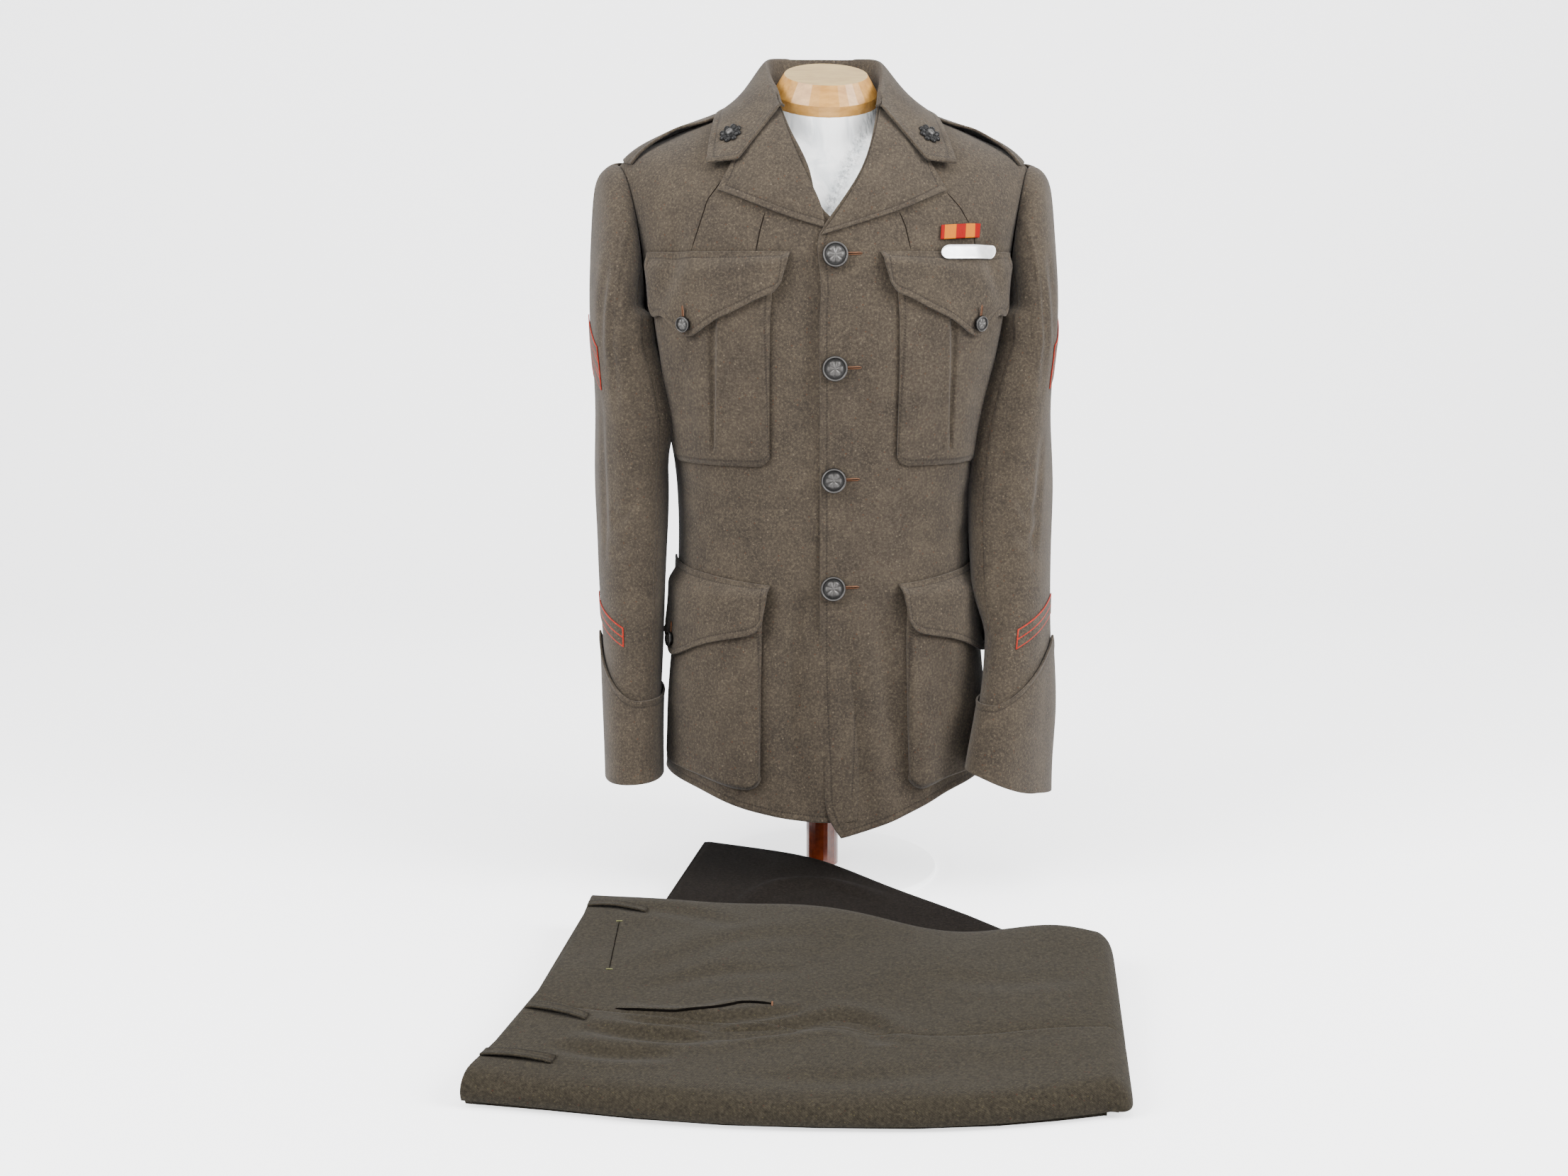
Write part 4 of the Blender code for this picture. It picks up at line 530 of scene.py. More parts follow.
def clothMaterial(name, colours, flecks, grain, sheen, stitch=None, bands=None):
    # wool cloth: fibres dyed before spinning give a heathered colour, milling gives a soft matt nap
    made, tree, shader = newMaterial(name, 0.95)
    place = addNode(tree, "TexCoord").outputs["Object"]
    fine = addNode(tree, "TexNoise", Vector=place, Scale=1 / grain["fibre"], Detail=5.0, Roughness=0.7)
    soft = addNode(tree, "TexNoise", Vector=place, Scale=1 / grain["patch"], Detail=3.0, Roughness=0.55)
    stops = [(0.30, colours["dark"]), (0.50, colours["mid"]), (0.70, colours["light"])]
    base = ramp(tree, fine.outputs["Fac"], stops)
    broad = ramp(tree, soft.outputs["Fac"], [(0.32, colours["dark"]), (0.68, colours["light"])])
    base = addNode(tree, "Mix RGBA", Factor=grain["patchShare"], i6=base, i7=broad).outputs[2]
    for size, colour, amount in flecks:
        cells = addNode(tree, "TexVoronoi", Vector=place, Scale=1 / size, Randomness=1.0)
        near = ramp(tree, cells.outputs["Distance"], [(0.12, 1.0), (0.34, 0.0)])
        pick = addNode(tree, "SeparateColor", Color=cells.outputs["Color"]).outputs[0]
        few = ramp(tree, pick, [(1 - amount - 0.02, 0.0), (1 - amount, 1.0)])
        mask = addNode(tree, "Math MULTIPLY", i0=near, i1=few)
        base = addNode(tree, "Mix RGBA", Factor=mask.outputs[0], i6=base,
                       i7=hexLinear(colour)).outputs[2]
    clothMap = addNode(tree, "UVMap", {"uv_map": "cloth"}).outputs["UV"]
    slant = addNode(tree, "Mapping", Vector=clothMap, Rotation=(0.0, 0.0, math.radians(grain["twill"])))
    ribs = addNode(tree, "TexWave", {"wave_type": "BANDS", "bands_direction": "X"},
                   Vector=slant.outputs[0], Scale=bandStep / grain["rib"], Distortion=2.0, Detail=2.0)
    height = addNode(tree, "Math MULTIPLY_ADD", i0=ribs.outputs["Fac"], i1=grain["ribShare"],
                     i2=fine.outputs["Fac"]).outputs[0]
    if stitch or bands:
        edges = addNode(tree, "SeparateXYZ", Vector=addNode(tree, "UVMap", {"uv_map": "edge"}).outputs[0])
    if stitch:
        # thread sunk into a groove: a dark line a few millimetres from the edge, broken into stitches; its
        # darkness is partly the thread and partly painted shade of the groove
        off = addNode(tree, "Math SUBTRACT", i0=edges.outputs[0], i1=stitch["in"]).outputs[0]
        off = addNode(tree, "Math ABSOLUTE", i0=off).outputs[0]
        line = ramp(tree, addNode(tree, "Math DIVIDE", i0=off, i1=0.0025).outputs[0],
                    [(0.12, 1.0), (0.50, 0.0)])
        turns = addNode(tree, "Math MULTIPLY", i0=edges.outputs[1],
                        i1=2 * math.pi / stitch["long"]).outputs[0]
        dash = addNode(tree, "Math SINE", i0=turns).outputs[0]
        dash = addNode(tree, "Math MULTIPLY_ADD", i0=dash, i1=0.25, i2=0.5).outputs[0]
        line = addNode(tree, "Math MULTIPLY", i0=line, i1=dash).outputs[0]
        base = addNode(tree, "Mix RGBA", Factor=line, i6=base,
                       i7=hexLinear(stitch["colour"])).outputs[2]
    if bands:
        # felt strips sewn on the cloth: coloured where the edge distance lies in a band
        for low, high in bands["at"]:
            inside = addNode(tree, "Math COMPARE", i0=edges.outputs[0], i1=(low + high) / 2,
                             i2=(high - low) / 2).outputs[0]
            felt = ramp(tree, fine.outputs["Fac"], [(0.35, bands["dark"]), (0.65, bands["light"])])
            base = addNode(tree, "Mix RGBA", Factor=inside, i6=base, i7=felt).outputs[2]
    dress(tree, shader, base, height, grain["strength"], grain["depth"], Sheen_Weight=sheen,
          Sheen_Roughness=0.5, Specular_IOR_Level=grain["shine"])
    return made


def plainMaterial(name, colour, roughness, metallic=0.0, coat=0.0, mottle=0.0, grain=0.004, other=None):
    # one colour and a second one mottled into it by a noise
    # of the given grain, which also roughens the surface
    made, tree, shader = newMaterial(name, roughness, metallic)
    place = addNode(tree, "TexCoord").outputs["Object"]
    noise = addNode(tree, "TexNoise", Vector=place, Scale=1 / grain, Detail=5.0, Roughness=0.6)
    stops = [(0.5 - mottle / 2, other or colour), (0.5 + mottle / 2 + 0.01, colour)]
    tone = ramp(tree, noise.outputs["Fac"], stops)
    dress(tree, shader, tone, noise.outputs["Fac"], Coat_Weight=coat, Coat_Roughness=0.2,
          Specular_IOR_Level=0.0 if roughness == 1.0 else 0.5)
    return made


def ribbonMaterial():
    # ribbed silk in sewn colour bands, by the share of the ribbon's length
    made, tree, shader = newMaterial("ribbed silk ribbon, gold and red", 0.55)
    clothMap = addNode(tree, "UVMap", {"uv_map": "cloth"}).outputs["UV"]
    along = addNode(tree, "SeparateXYZ", Vector=clothMap).outputs[0]
    share = addNode(tree, "Math MULTIPLY", i0=along, i1=1 / ribbonCut["long"]).outputs[0]
    gold, red = "A85C00", "7E0600"
    edges = [(0.00, red), (0.065, red), (0.075, gold), (0.375, gold), (0.385, red),
             (0.645, red), (0.655, gold), (0.925, gold), (0.935, red)]
    tone = ramp(tree, share, edges)
    ribs = addNode(tree, "TexWave", {"wave_type": "BANDS", "bands_direction": "X"}, Vector=clothMap,
                   Scale=bandStep / ribbonCut["rib"])
    dress(tree, shader, tone, ribs.outputs["Fac"], 0.5, 0.0003, Specular_IOR_Level=0.1)
    return made


def bronzeMaterial():
    # stamped bronze darkened by age, rubbed brighter on its raised parts
    made, tree, shader = newMaterial("darkened bronze, stamped", 0.42, 0.55)
    place = addNode(tree, "TexCoord").outputs["Object"]
    grain = addNode(tree, "TexNoise", Vector=place, Scale=1 / 0.0012, Detail=4.0, Roughness=0.7)
    worn = addNode(tree, "SeparateXYZ", Vector=addNode(tree, "UVMap", {"uv_map": "cloth"}).outputs[0])
    mixed = addNode(tree, "Math MULTIPLY_ADD", i0=grain.outputs["Fac"], i1=0.5,
                    i2=worn.outputs[0]).outputs[0]
    tone = ramp(tree, mixed, [(0.30, "0B0A0A"), (0.75, "222120"), (1.0, "4E4C4A")])
    dress(tree, shader, tone, grain.outputs["Fac"], 0.6)
    return made


def jerseyMaterial():
    # cotton jersey stretched over the form: upright pulls, greyer in their
    # hollows as painted shade, and charcoal scuffs where a lapel rubs along the opening
    made, tree, shader = newMaterial("white cotton jersey", 0.85)
    place = addNode(tree, "TexCoord").outputs["Object"]
    pulled = addNode(tree, "Mapping", Vector=place, Scale=(1.0, 1.0, 0.28))
    folds = addNode(tree, "TexNoise", Vector=pulled.outputs[0], Scale=1 / 0.016, Detail=3.0, Roughness=0.5,
                    Distortion=0.8)
    fine = addNode(tree, "TexNoise", Vector=pulled.outputs[0], Scale=1 / 0.0035, Detail=6.0, Roughness=0.75)
    at = addNode(tree, "SeparateXYZ", Vector=place)
    slope = addNode(tree, "Math MULTIPLY_ADD", i0=at.outputs[2], i1=-0.52, i2=0.372)
    off = addNode(tree, "Math ADD", i0=at.outputs[0], i1=slope.outputs[0])
    off = addNode(tree, "Math ABSOLUTE", i0=off.outputs[0])
    band = addNode(tree, "Math MULTIPLY", i0=off.outputs[0], i1=40.0)
    near = ramp(tree, band.outputs[0], [(0.08, 1.0), (0.46, 0.0)])
    spots = ramp(tree, fine.outputs["Fac"], [(0.42, 0.0), (0.66, 0.9)])
    scuff = addNode(tree, "Math MULTIPLY", i0=near, i1=spots).outputs[0]
    # the white goes greyer where the pulls' bump is low: painted shade in the hollows
    tone = ramp(tree, folds.outputs["Fac"], [(0.35, "DCE0E2"), (0.60, "F6F7F7")])
    tone = addNode(tree, "Mix RGBA", Factor=scuff, i6=tone, i7=hexLinear("5E666B")).outputs[2]
    dress(tree, shader, tone, folds.outputs["Fac"], 0.6, 0.003)
    return made


def capMaterial():
    # turned pale wood: end grain on the flat face, orange
    # varnish on the bevel, told apart by the face's direction
    made, tree, shader = newMaterial("blond turned wood, varnished", 0.40)
    texture = addNode(tree, "TexCoord")
    lean = math.radians(20)
    facing = addNode(tree, "VectorMath DOT_PRODUCT", i0=texture.outputs["Normal"],
                     i1=(0.0, -math.sin(lean), math.cos(lean))).outputs["Value"]
    long = addNode(tree, "Mapping", Vector=texture.outputs["Object"], Scale=(0.25, 1.0, 1.0))
    grain = addNode(tree, "TexNoise", Vector=long.outputs[0], Scale=1 / 0.006, Detail=5.0, Roughness=0.6)
    bevel = ramp(tree, grain.outputs["Fac"], [(0.30, "98692A"), (0.70, "BE8E48")])
    face = ramp(tree, grain.outputs["Fac"], [(0.30, "8A6F3C"), (0.70, "A88D54")])
    flat = ramp(tree, facing, [(0.90, 0.0), (0.97, 1.0)])
    tone = addNode(tree, "Mix RGBA", Factor=flat, i6=bevel, i7=face).outputs[2]
    dress(tree, shader, tone, Coat_Weight=0.08)
    return made


# Coat: a matt brown-olive heather with pale and rust flecks and a soft nap at
# the edges of the shape. Fibres and flecks of 2 to 4 mm are drawn two or three
# times as coarse as they are, so that they show at the photo's distance.
woolColours = {"dark": "201B16", "mid": "352E26", "light": "4E4538"}
woolFlecks = [(0.0022, "50473A", 0.16), (0.0030, "432C1D", 0.05), (0.0036, "554B3E", 0.03)]
woolGrain = {"patch": 0.030, "fibre": 0.0024, "patchShare": 0.20, "twill": 45, "rib": 0.0014,
             "ribShare": 0.25, "strength": 0.6, "depth": 0.0006, "shine": 0.20}
coatWool = clothMaterial("milled wool cloth, brown-olive heather", woolColours, woolFlecks, woolGrain, 0.08)
coatEdge = clothMaterial("milled wool cloth, edge stitched", woolColours, woolFlecks, woolGrain, 0.08,
                         stitch={"in": 0.0062, "long": 0.0028, "colour": "1C1713"})
stripeWool = clothMaterial("red felt lines on wool cloth", woolColours, woolFlecks, woolGrain, 0.08,
                           bands={"at": [(-0.0010, 0.0010)], "dark": "7E1709", "light": "A02816"})
# Trousers: darker, smoother and greener than the coat, with
# a fine slanted rib of 1.2 mm, twice as coarse as real
sergeColours = {"dark": "191612", "mid": "28241D", "light": "39342A"}
sergeFlecks = [(0.0024, "3A3526", 0.12), (0.0031, "34221A", 0.03)]
sergeGrain = {"patch": 0.0036, "fibre": 0.0024, "patchShare": 0.26, "twill": 63, "rib": 0.0012,
              "ribShare": 0.4, "strength": 0.6, "depth": 0.0007, "shine": 0.05}
trouserSerge = clothMaterial("wool serge, dark olive", sergeColours, sergeFlecks, sergeGrain, 0.04)
trouserEdge = clothMaterial("wool serge, edge stitched", sergeColours, sergeFlecks, sergeGrain, 0.04,
                            stitch={"in": 0.0016, "long": 0.0028, "colour": "0E0C0A"})
# The lower legs lie in the coat's shade: the same serge in darker colours, painted shade, that looks nearly
# black
legShadeColours = {"dark": "0E0C0A", "mid": "161311", "light": "231F1B"}
legShadeSerge = clothMaterial("wool serge, darkened as painted shade under the coat", legShadeColours, [(0.0024, "1C1914", 0.06)],
                         sergeGrain, 0.0)
# Seams, slits and thread: dark lines with no shine, the seams' wool darkened as painted shade of their sunk
# line, and rust brown or green twist that stands out on the wool
seamShadeWool = plainMaterial("wool cloth darkened as painted shade of a sunk seam", "1C1814", 1.0, mottle=0.3, grain=0.002, other="151210")
rustThread = plainMaterial("silk buttonhole twist, rust brown", "6A3F1E", 0.7, mottle=0.3, grain=0.001,
                           other="45280F")
greenThread = plainMaterial("bar tack thread, olive green", "6F7040", 0.7, mottle=0.3, grain=0.001,
                            other="55562F")
holeDark = plainMaterial("shadowed slit in the cloth", "0B0908", 1.0, mottle=0.2, grain=0.002, other="080706")
darkBronze = bronzeMaterial()
ribbonSilk = ribbonMaterial()
# The bar is brushed silver: bright and a little soft, with no mirror image in it
satinSilver = plainMaterial("satin silver", "F4F4F5", 0.34, 0.35, mottle=0.2, grain=0.006, other="E2E3E6")
whiteJersey = jerseyMaterial()
paleWood = capMaterial()
# Post and foot: glossy red-brown wood, and an even white paint
redVarnish = plainMaterial("red-brown varnished wood", "6E2C12", 0.25, coat=0.6, mottle=0.4, grain=0.01,
                           other="4C1B0A")
glowingWhitePlate = plainMaterial("steel, white powder coat, with a painted glow", "F7F8F8", 0.5, mottle=0.2, grain=0.003, other="F2F3F4")
# the floor is overexposed: the plate is made to glow, painted light though it is no lamp, so that it goes as
# pale
plateShader = glowingWhitePlate.node_tree.nodes["Principled BSDF"]
plateShader.inputs["Emission Color"].default_value = hexLinear("FFFFFF")
plateShader.inputs["Emission Strength"].default_value = 1.4
print("materials made")


# Coat body

panelGrid = {"columns": 94, "low": 92, "high": 50}


def frontInner(side):
    # inner face of one front: superellipse points from the front edge to the side seam, up to the armpit,
    # then chest points from the lapel's roll line to the armhole
    edge = frontEdge[side]
    across = spread(panelGrid["columns"])[:, None]
    up = spread(panelGrid["low"], 0.5)[None, :]
    edgeZ = 0.075 + up * (bodyCut["armpit"] - 0.075)
    start = angleAt(cubic(edge["z"], edge["x"], edgeZ), edgeZ)
    angle = start + (89.9 - start) * across
    hem = cubic(hemLine[side]["angle"], hemLine[side]["z"], np.abs(angle[:, :1]))
    low = bodyPoint(angle, hem + (bodyCut["armpit"] - hem) * up)
    turn = np.linspace(0, 89.85, panelGrid["high"] + 1)[None, 1:]
    rise = np.sin(np.radians(turn)) ** (2 / bodyCut["chestPower"])
    power = bodyCut["frontPower"]
    first = np.arcsin(signedPower(cubic(edge["rise"], edge["highX"], rise) / shoulderWidth(rise), power / 2))
    last = np.arcsin(armholeShare(turn / 90.0, "front") ** (power / 2)) - math.radians(0.1)
    angle = first + (last - first) * across
    high = chestPoint(signedPower(np.sin(angle), 2 / power), np.broadcast_to(turn, angle.shape), "front")
    points = np.concatenate([low, high], axis=1)
    if side == "left":
        lap = frontLap(points[..., 0], points[..., 2])
        points = points + gridNormals(points, axisCore(points)) * lap[..., None]
    return points


def backInner():
    # inner face of one back, from the centre seam to the side seam and up to the armhole and neck; near the
    # neck the top drops by a quarter ellipse
    across = spread(panelGrid["columns"] - 20)[:, None]
    up = spread(panelGrid["low"] - 20, 0.5)[None, :]
    angle = 179.88 - (179.88 - 90.15) * across
    hem = cubic(hemLine["left"]["angle"], hemLine["left"]["z"], angle)
    low = bodyPoint(angle + 0 * up, hem + (bodyCut["armpit"] - hem) * up)
    climb = np.linspace(0, 1, panelGrid["high"] - 10)[None, 1:]
    power = bodyCut["backPower"]
    last = np.arcsin(armholeShare(climb, "back") ** (power / 2)) - math.radians(0.15)
    share = np.sin(math.radians(0.12) + (last - math.radians(0.12)) * across) ** (2 / power)
    drop = np.sqrt(np.maximum(1 - (share * bodyCut["tip"] / bodyCut["neck"]) ** 2, 0))
    turn = climb * (89.85 - bodyCut["backNeckDrop"] * drop)
    return np.concatenate([low, chestPoint(share, turn, "back")], axis=1)


def makeBody():
    # each panel is a wall of cloth off its inner face by the coat's creases; the centre back seam stays even
    for side, flip in sides.items():
        points = flip(frontInner(side))
        clothWall("coat_front_panel_" + side, points, cloth["coat"], coatEdge, axisCore(points),
                  "coat_front_" + side, relief=coatRelief(points, side), stitched="ac")
        points = flip(backInner())
        centre = ease(0.0, 0.012, np.abs(points[..., 0]))
        clothWall("coat_back_panel_" + side, points, cloth["coat"], coatEdge, axisCore(points),
                  "coat_back_" + side, relief=coatRelief(points, side) * centre, stitched="c")


makeBody()
print("coat body made")


# Lapels and collar

lapelCut = {
    "gorge": (0.0500, 0.8060), "notch": (0.0957, 0.7525), "tip": (0.1110, 0.7247), "lower": (0.0540, 0.7020),
    "foot": {"left": (-0.0130, 0.6810), "right": (0.0135, 0.6890)},
    "roll": {"left": ((0.681, 0.694, 0.734, 0.782, 0.806), (-0.0130, -0.0030, 0.0245, 0.0435, 0.0500)),
             "right": ((0.689, 0.700, 0.734, 0.782, 0.806), (0.0110, 0.0115, 0.0245, 0.0435, 0.0500))},
    "crown": 0.0030, "grid": (60, 70),
}
# Guide points round the neck, from the centre back to the front end, and each guide's place across
collarCut = {
    "at":     (0.0, 0.36, 0.68, 1.0), "grid": (141, 48),
    "s":      (0.0, 0.2, 0.4, 0.6, 0.8, 1.0),
    "foot":   ((0.000, 0.0550, 0.833), (0.0275, 0.0500, 0.831), (0.0475, 0.0330, 0.829),
               (0.0563, 0.0060, 0.826), (0.0505, -0.0340, 0.8170), (0.0455, -0.0690, 0.8090)),
    "roll":   ((0.000, 0.0650, 0.8665), (0.0310, 0.0600, 0.8660), (0.0545, 0.0380, 0.8635),
               (0.0600, 0.0070, 0.8535), (0.0572, -0.0320, 0.8340), (0.0500, -0.0745, 0.8105)),
    "middle": ((0.000, 0.0755, 0.845), (0.0380, 0.0700, 0.843), (0.0700, 0.0490, 0.839),
               (0.0825, 0.0070, 0.8300), (0.0835, -0.0440, 0.8120), (0.0935, -0.0990, 0.7560)),
    "edge":   ((0.000, 0.0830, 0.820), (0.0455, 0.0795, 0.8165), (0.0840, 0.0535, 0.8135),
               (0.1050, 0.0090, 0.8095), (0.1150, -0.0360, 0.7960), (0.1235, -0.0915, 0.7530)),
}


def lapelFlat(side, columns, rows):
    # a patch of x and height between the roll line, the lower edge, the outer edge and the gorge
    along, across = spread(rows, 0.6)[None, :], spread(columns, 0.6)[:, None]
    foot, tip, notch, gorge = lapelCut["foot"][side], lapelCut["tip"], lapelCut["notch"], lapelCut["gorge"]
    rollZ = foot[1] + (gorge[1] - foot[1]) * along
    roll = np.stack([cubic(*lapelCut["roll"][side], rollZ), rollZ], -1)
    outer = np.stack([tip[k] + (notch[k] - tip[k]) * along for k in (0, 1)], -1)
    bent = zip(foot, lapelCut["lower"], tip)
    lower = np.stack([cubic((0, 0.5, 1), three, across) for three in bent], -1)
    upper = np.stack([gorge[k] + (notch[k] - gorge[k]) * across for k in (0, 1)], -1)
    u, v = across[..., None], along[..., None]
    corners = (1 - v) * ((1 - u) * lower[:1] + u * lower[-1:]) + v * ((1 - u) * upper[:1] + u * upper[-1:])
    return (1 - u) * roll + u * outer + (1 - v) * lower + v * upper - corners


def collarPoints(stations, profile):
    # visible face of the collar, from the foot of its stand over the roll to the leaf's edge: a
    # spline across four guides at each station, which turns into straight pieces near the front ends
    s = np.linspace(-1, 1, stations)
    fullS = [-v for v in collarCut["s"][:0:-1]] + list(collarCut["s"])
    guides = []
    for key in ("foot", "roll", "middle", "edge"):
        table = np.array([(-x, y, z) for x, y, z in collarCut[key][:0:-1]] + list(collarCut[key]))
        guides.append(np.stack([cubic(fullS, table[:, k], s) for k in range(3)], -1))
    only = np.eye(len(collarCut["at"]))
    soft = np.stack([cubic(collarCut["at"], row, profile) for row in only], -1)
    straight = np.stack([np.interp(profile, collarCut["at"], row) for row in only], -1)
    sharp = ease(0.80, 0.985, np.abs(s))[:, None, None]
    shares = (1 - sharp) * soft + sharp * straight
    return np.einsum("spg,gsk->spk", shares, np.array(guides))


def makeCollar():
    # lapels: the flat patch laid on the front with a crown,
    # half a sine wave high; collar: one leaf by its guides
    for side, flip in sides.items():
        flat = lapelFlat(side, *lapelCut["grid"])
        x, z = flat[..., 0], flat[..., 1]
        across = spread(lapelCut["grid"][0], 0.6)[:, None]
        lift = frontLap(x, z) if side == "left" else 0 * x
        crown = lapelCut["crown"] * np.sin(math.pi * across) * ease(0.69, 0.72, z)
        points = flip(offBody(angleAt(x, z), z, cloth["coat"] + cloth["lay"] + lift + crown))
        clothWall("lapel_leaf_" + side, points, cloth["coat"], coatEdge, axisCore(points), "lapel_" + side,
                  relief=coatRelief(points, side), stitched="bc")
    stations, rows = collarCut["grid"]
    points = collarPoints(stations, spread(rows, 0.5))
    normals = gridNormals(points, np.array([0, 0, 0.70]))
    clothWall("collar_leaf", points - normals * cloth["coat"], cloth["coat"], coatEdge,
              np.array([0, 0, 0.70]), "collar", stitched="abd")


makeCollar()
print("lapels and collar made")


# Shoulder straps

strapCut = {"inner": 0.1076, "lean": -0.26, "outer": 0.2060, "half": 0.0260, "taper": 0.0040,
            "endRound": 0.0090, "middleY": 0.0020, "arch": 0.0060, "lift": 0.0010, "grid": (60, 34)}


def shoulderHeight(x, y):
    # height of the coat's outer face at x and y: the body's chest curve solved for height
    lineY = cubic(shoulderLine["x"], shoulderLine["y"], x)
    lineZ = cubic(shoulderLine["x"], shoulderLine["z"], x)
    _, front, back = bodySizes(bodyCut["armpit"])
    share = x / bodyCut["tip"]
    flatFront = -front * np.maximum(1 - share ** bodyCut["frontPower"], 0.001) ** (1 / bodyCut["frontPower"])
    flatBack = back * np.maximum(1 - share ** bodyCut["backPower"], 0.001) ** (1 / bodyCut["backPower"])
    bend = np.where(y < lineY, (y - lineY) / (flatFront - lineY), (y - lineY) / (flatBack - lineY))
    rise = np.maximum(1 - np.clip(bend, 0, 1) ** bodyCut["chestPower"], 0) ** (1 / bodyCut["chestPower"])
    return bodyCut["armpit"] + rise * (lineZ - bodyCut["armpit"])


def makeStraps():
    # each strap follows the shoulder's height and arches off it at the front by half a sine wave
    columns, rows = strapCut["grid"]
    for side, flip in sides.items():
        along, across = spread(columns, 0.6)[:, None], (2 * spread(rows, 0.7) - 1)[None, :]
        y = strapCut["middleY"] + across * (strapCut["half"] - strapCut["taper"] * (1 - along))
        inner = strapCut["inner"] + strapCut["lean"] * (y - strapCut["middleY"])
        x = inner + (strapCut["outer"] - strapCut["endRound"] * across ** 2 - inner) * along
        z = shoulderHeight(x, y) + cloth["coat"] + cloth["lay"] + strapCut["lift"]
        arch = strapCut["arch"] * np.sin(math.pi * along) ** 0.8 * ease(0.0, 0.5, along)
        z = z + arch * (0.5 - 0.5 * across) ** 1.3
        points = flip(np.stack([x, y + 0 * z, z], -1))
        clothWall("shoulder_strap_cloth_" + side, points, cloth["coat"], coatEdge, np.array([0, 0, 0.3]),
                  "shoulder_strap_" + side, stitched="acd")


makeStraps()
print("shoulder straps made")


# Sleeves and cuffs

sleeveCut = {
    "left":  {"z":    (0.100, 0.140, 0.190, 0.260, 0.340, 0.420, 0.500, 0.575),
              "x":    (0.1850, 0.1875, 0.1945, 0.2005, 0.2025, 0.2025, 0.2055, 0.2155),
              "y":    (-0.1060, -0.0985, -0.0880, -0.0640, -0.0400, -0.0220, -0.0100, -0.0030),
              "half": (0.0295, 0.0295, 0.0300, 0.0300, 0.0330, 0.0365, 0.0350, 0.0275),
              "deep": (0.0690, 0.0685, 0.0670, 0.0650, 0.0705, 0.0780, 0.0820, 0.0850),
              "turn": (38, 37, 33, 25, 19, 16, 11, 6)},
    "right": {"z":    (0.100, 0.140, 0.190, 0.260, 0.340, 0.420, 0.500, 0.575),
              "x":    (0.2030, 0.2035, 0.2040, 0.2035, 0.2035, 0.2025, 0.2060, 0.2155),
              "y":    (-0.0490, -0.0440, -0.0350, -0.0230, -0.0140, -0.0060, -0.0020, 0.0000),
              "half": (0.0280, 0.0280, 0.0290, 0.0315, 0.0350, 0.0375, 0.0350, 0.0275),
              "deep": (0.0660, 0.0655, 0.0660, 0.0690, 0.0730, 0.0770, 0.0820, 0.0850),
              "turn": (2, 2, 3, 5, 5, 6, 6, 4)},
    "middleX": 0.205, "power": 2.3, "top": 0.575, "armholeGap": 0.0016, "armpitEase": 0.0031,
    "seams": (118.0, 250.0), "seamHalf": 0.25,
    "hem": {"left": (0.125, 0.018, 0.010), "right": (0.124, 0.004, 0.002)},
    "grid": {"upper": 74, "under": 46, "cap": 34, "tube": 112, "cuff": 124, "cuffRows": 38},
    "cuff": {"around": (252, 609), "gap": 0.0015, "square": 0.212, "point": 0.056, "at": -15.0,
             "spread": 105.0},
}


def armCore(points):
    # for each point the one at its height on the arm's middle line
    return np.array([sleeveCut["middleX"], 0.0, 0.0]) + axisCore(points)


def armholeRing(around):
    # ring of points just outside the armhole's edge, by the angle round the sleeve
    climb = (1 - np.abs(around) / 180.0) ** 1.6
    turn = np.clip(climb * 90.0, 0, 89.9)
    ring = np.where((around >= 0)[..., None], chestPoint(armholeShare(climb, "front"), turn, "front"),
                    chestPoint(armholeShare(climb, "back"), turn, "back"))
    ray = unit(ring - np.array([0.130, 0.005, 0.660]))
    loose = np.stack([sleeveCut["armpitEase"] * (1 - climb), 0 * climb, 0 * climb], -1)
    return ring + ray * (cloth["coat"] + sleeveCut["armholeGap"]) + loose


def sleeveSection(side, around, z, out):
    # superellipse round the arm, turned about its upright axis
    cut = sleeveCut[side]
    x, y, half, deep, turn = [cubic(cut["z"], cut[key], z) for key in ("x", "y", "half", "deep", "turn")]
    a, t, power = np.radians(around), np.radians(turn), 2 / sleeveCut["power"]
    fx = (half - cloth["coat"] + out) * signedPower(np.cos(a), power)
    fy = -(deep - cloth["coat"] + out) * signedPower(np.sin(a), power)
    alongX, alongY = fx * np.cos(t) + fy * np.sin(t), fy * np.cos(t) - fx * np.sin(t)
    return np.stack([x + alongX, y + alongY, z + 0 * fx], -1)


def sleeveHem(side, around):
    # height of the sleeve's end: a middle height plus a tilt forward and inward by sine and cosine
    middle, ahead, inner = sleeveCut["hem"][side]
    return middle + ahead * np.sin(np.radians(around)) - inner * np.cos(np.radians(around))


def sleevePoints(side, around, capRows, tubeRows):
    # Bezier curves from the armhole out over the shoulder's end and down into the tube
    signed = np.where(around > 180, around - 360, around)
    start = armholeRing(signed)
    top = sleeveSection(side, around, np.full_like(around, sleeveCut["top"]), 0.0)
    radial = np.stack([np.cos(np.radians(around)), -np.sin(np.radians(around)), 0 * around], -1)
    easy = ((1 + np.cos(np.radians(around))) / 2)[:, None]
    pullOut = start + radial * 0.020 * easy ** 0.5 + np.array([0.006, 0, 0.002])
    pullUp = top + np.array([0, 0, 1.0]) * (start[:, 2:3] - sleeveCut["top"]) * 0.55
    shares = np.linspace(0, 1, capRows, endpoint=False)
    rows = [start * (1 - t) ** 3 + 3 * t * (1 - t) * (pullOut * (1 - t) + pullUp * t) + top * t ** 3
            for t in shares]
    hem = sleeveHem(side, around)
    for t in 1 - (1 - np.linspace(0, 1, tubeRows)) ** 1.15:
        rows.append(sleeveSection(side, around, sleeveCut["top"] + t * (hem - sleeveCut["top"]), 0.0))
    return np.stack(rows, axis=1)


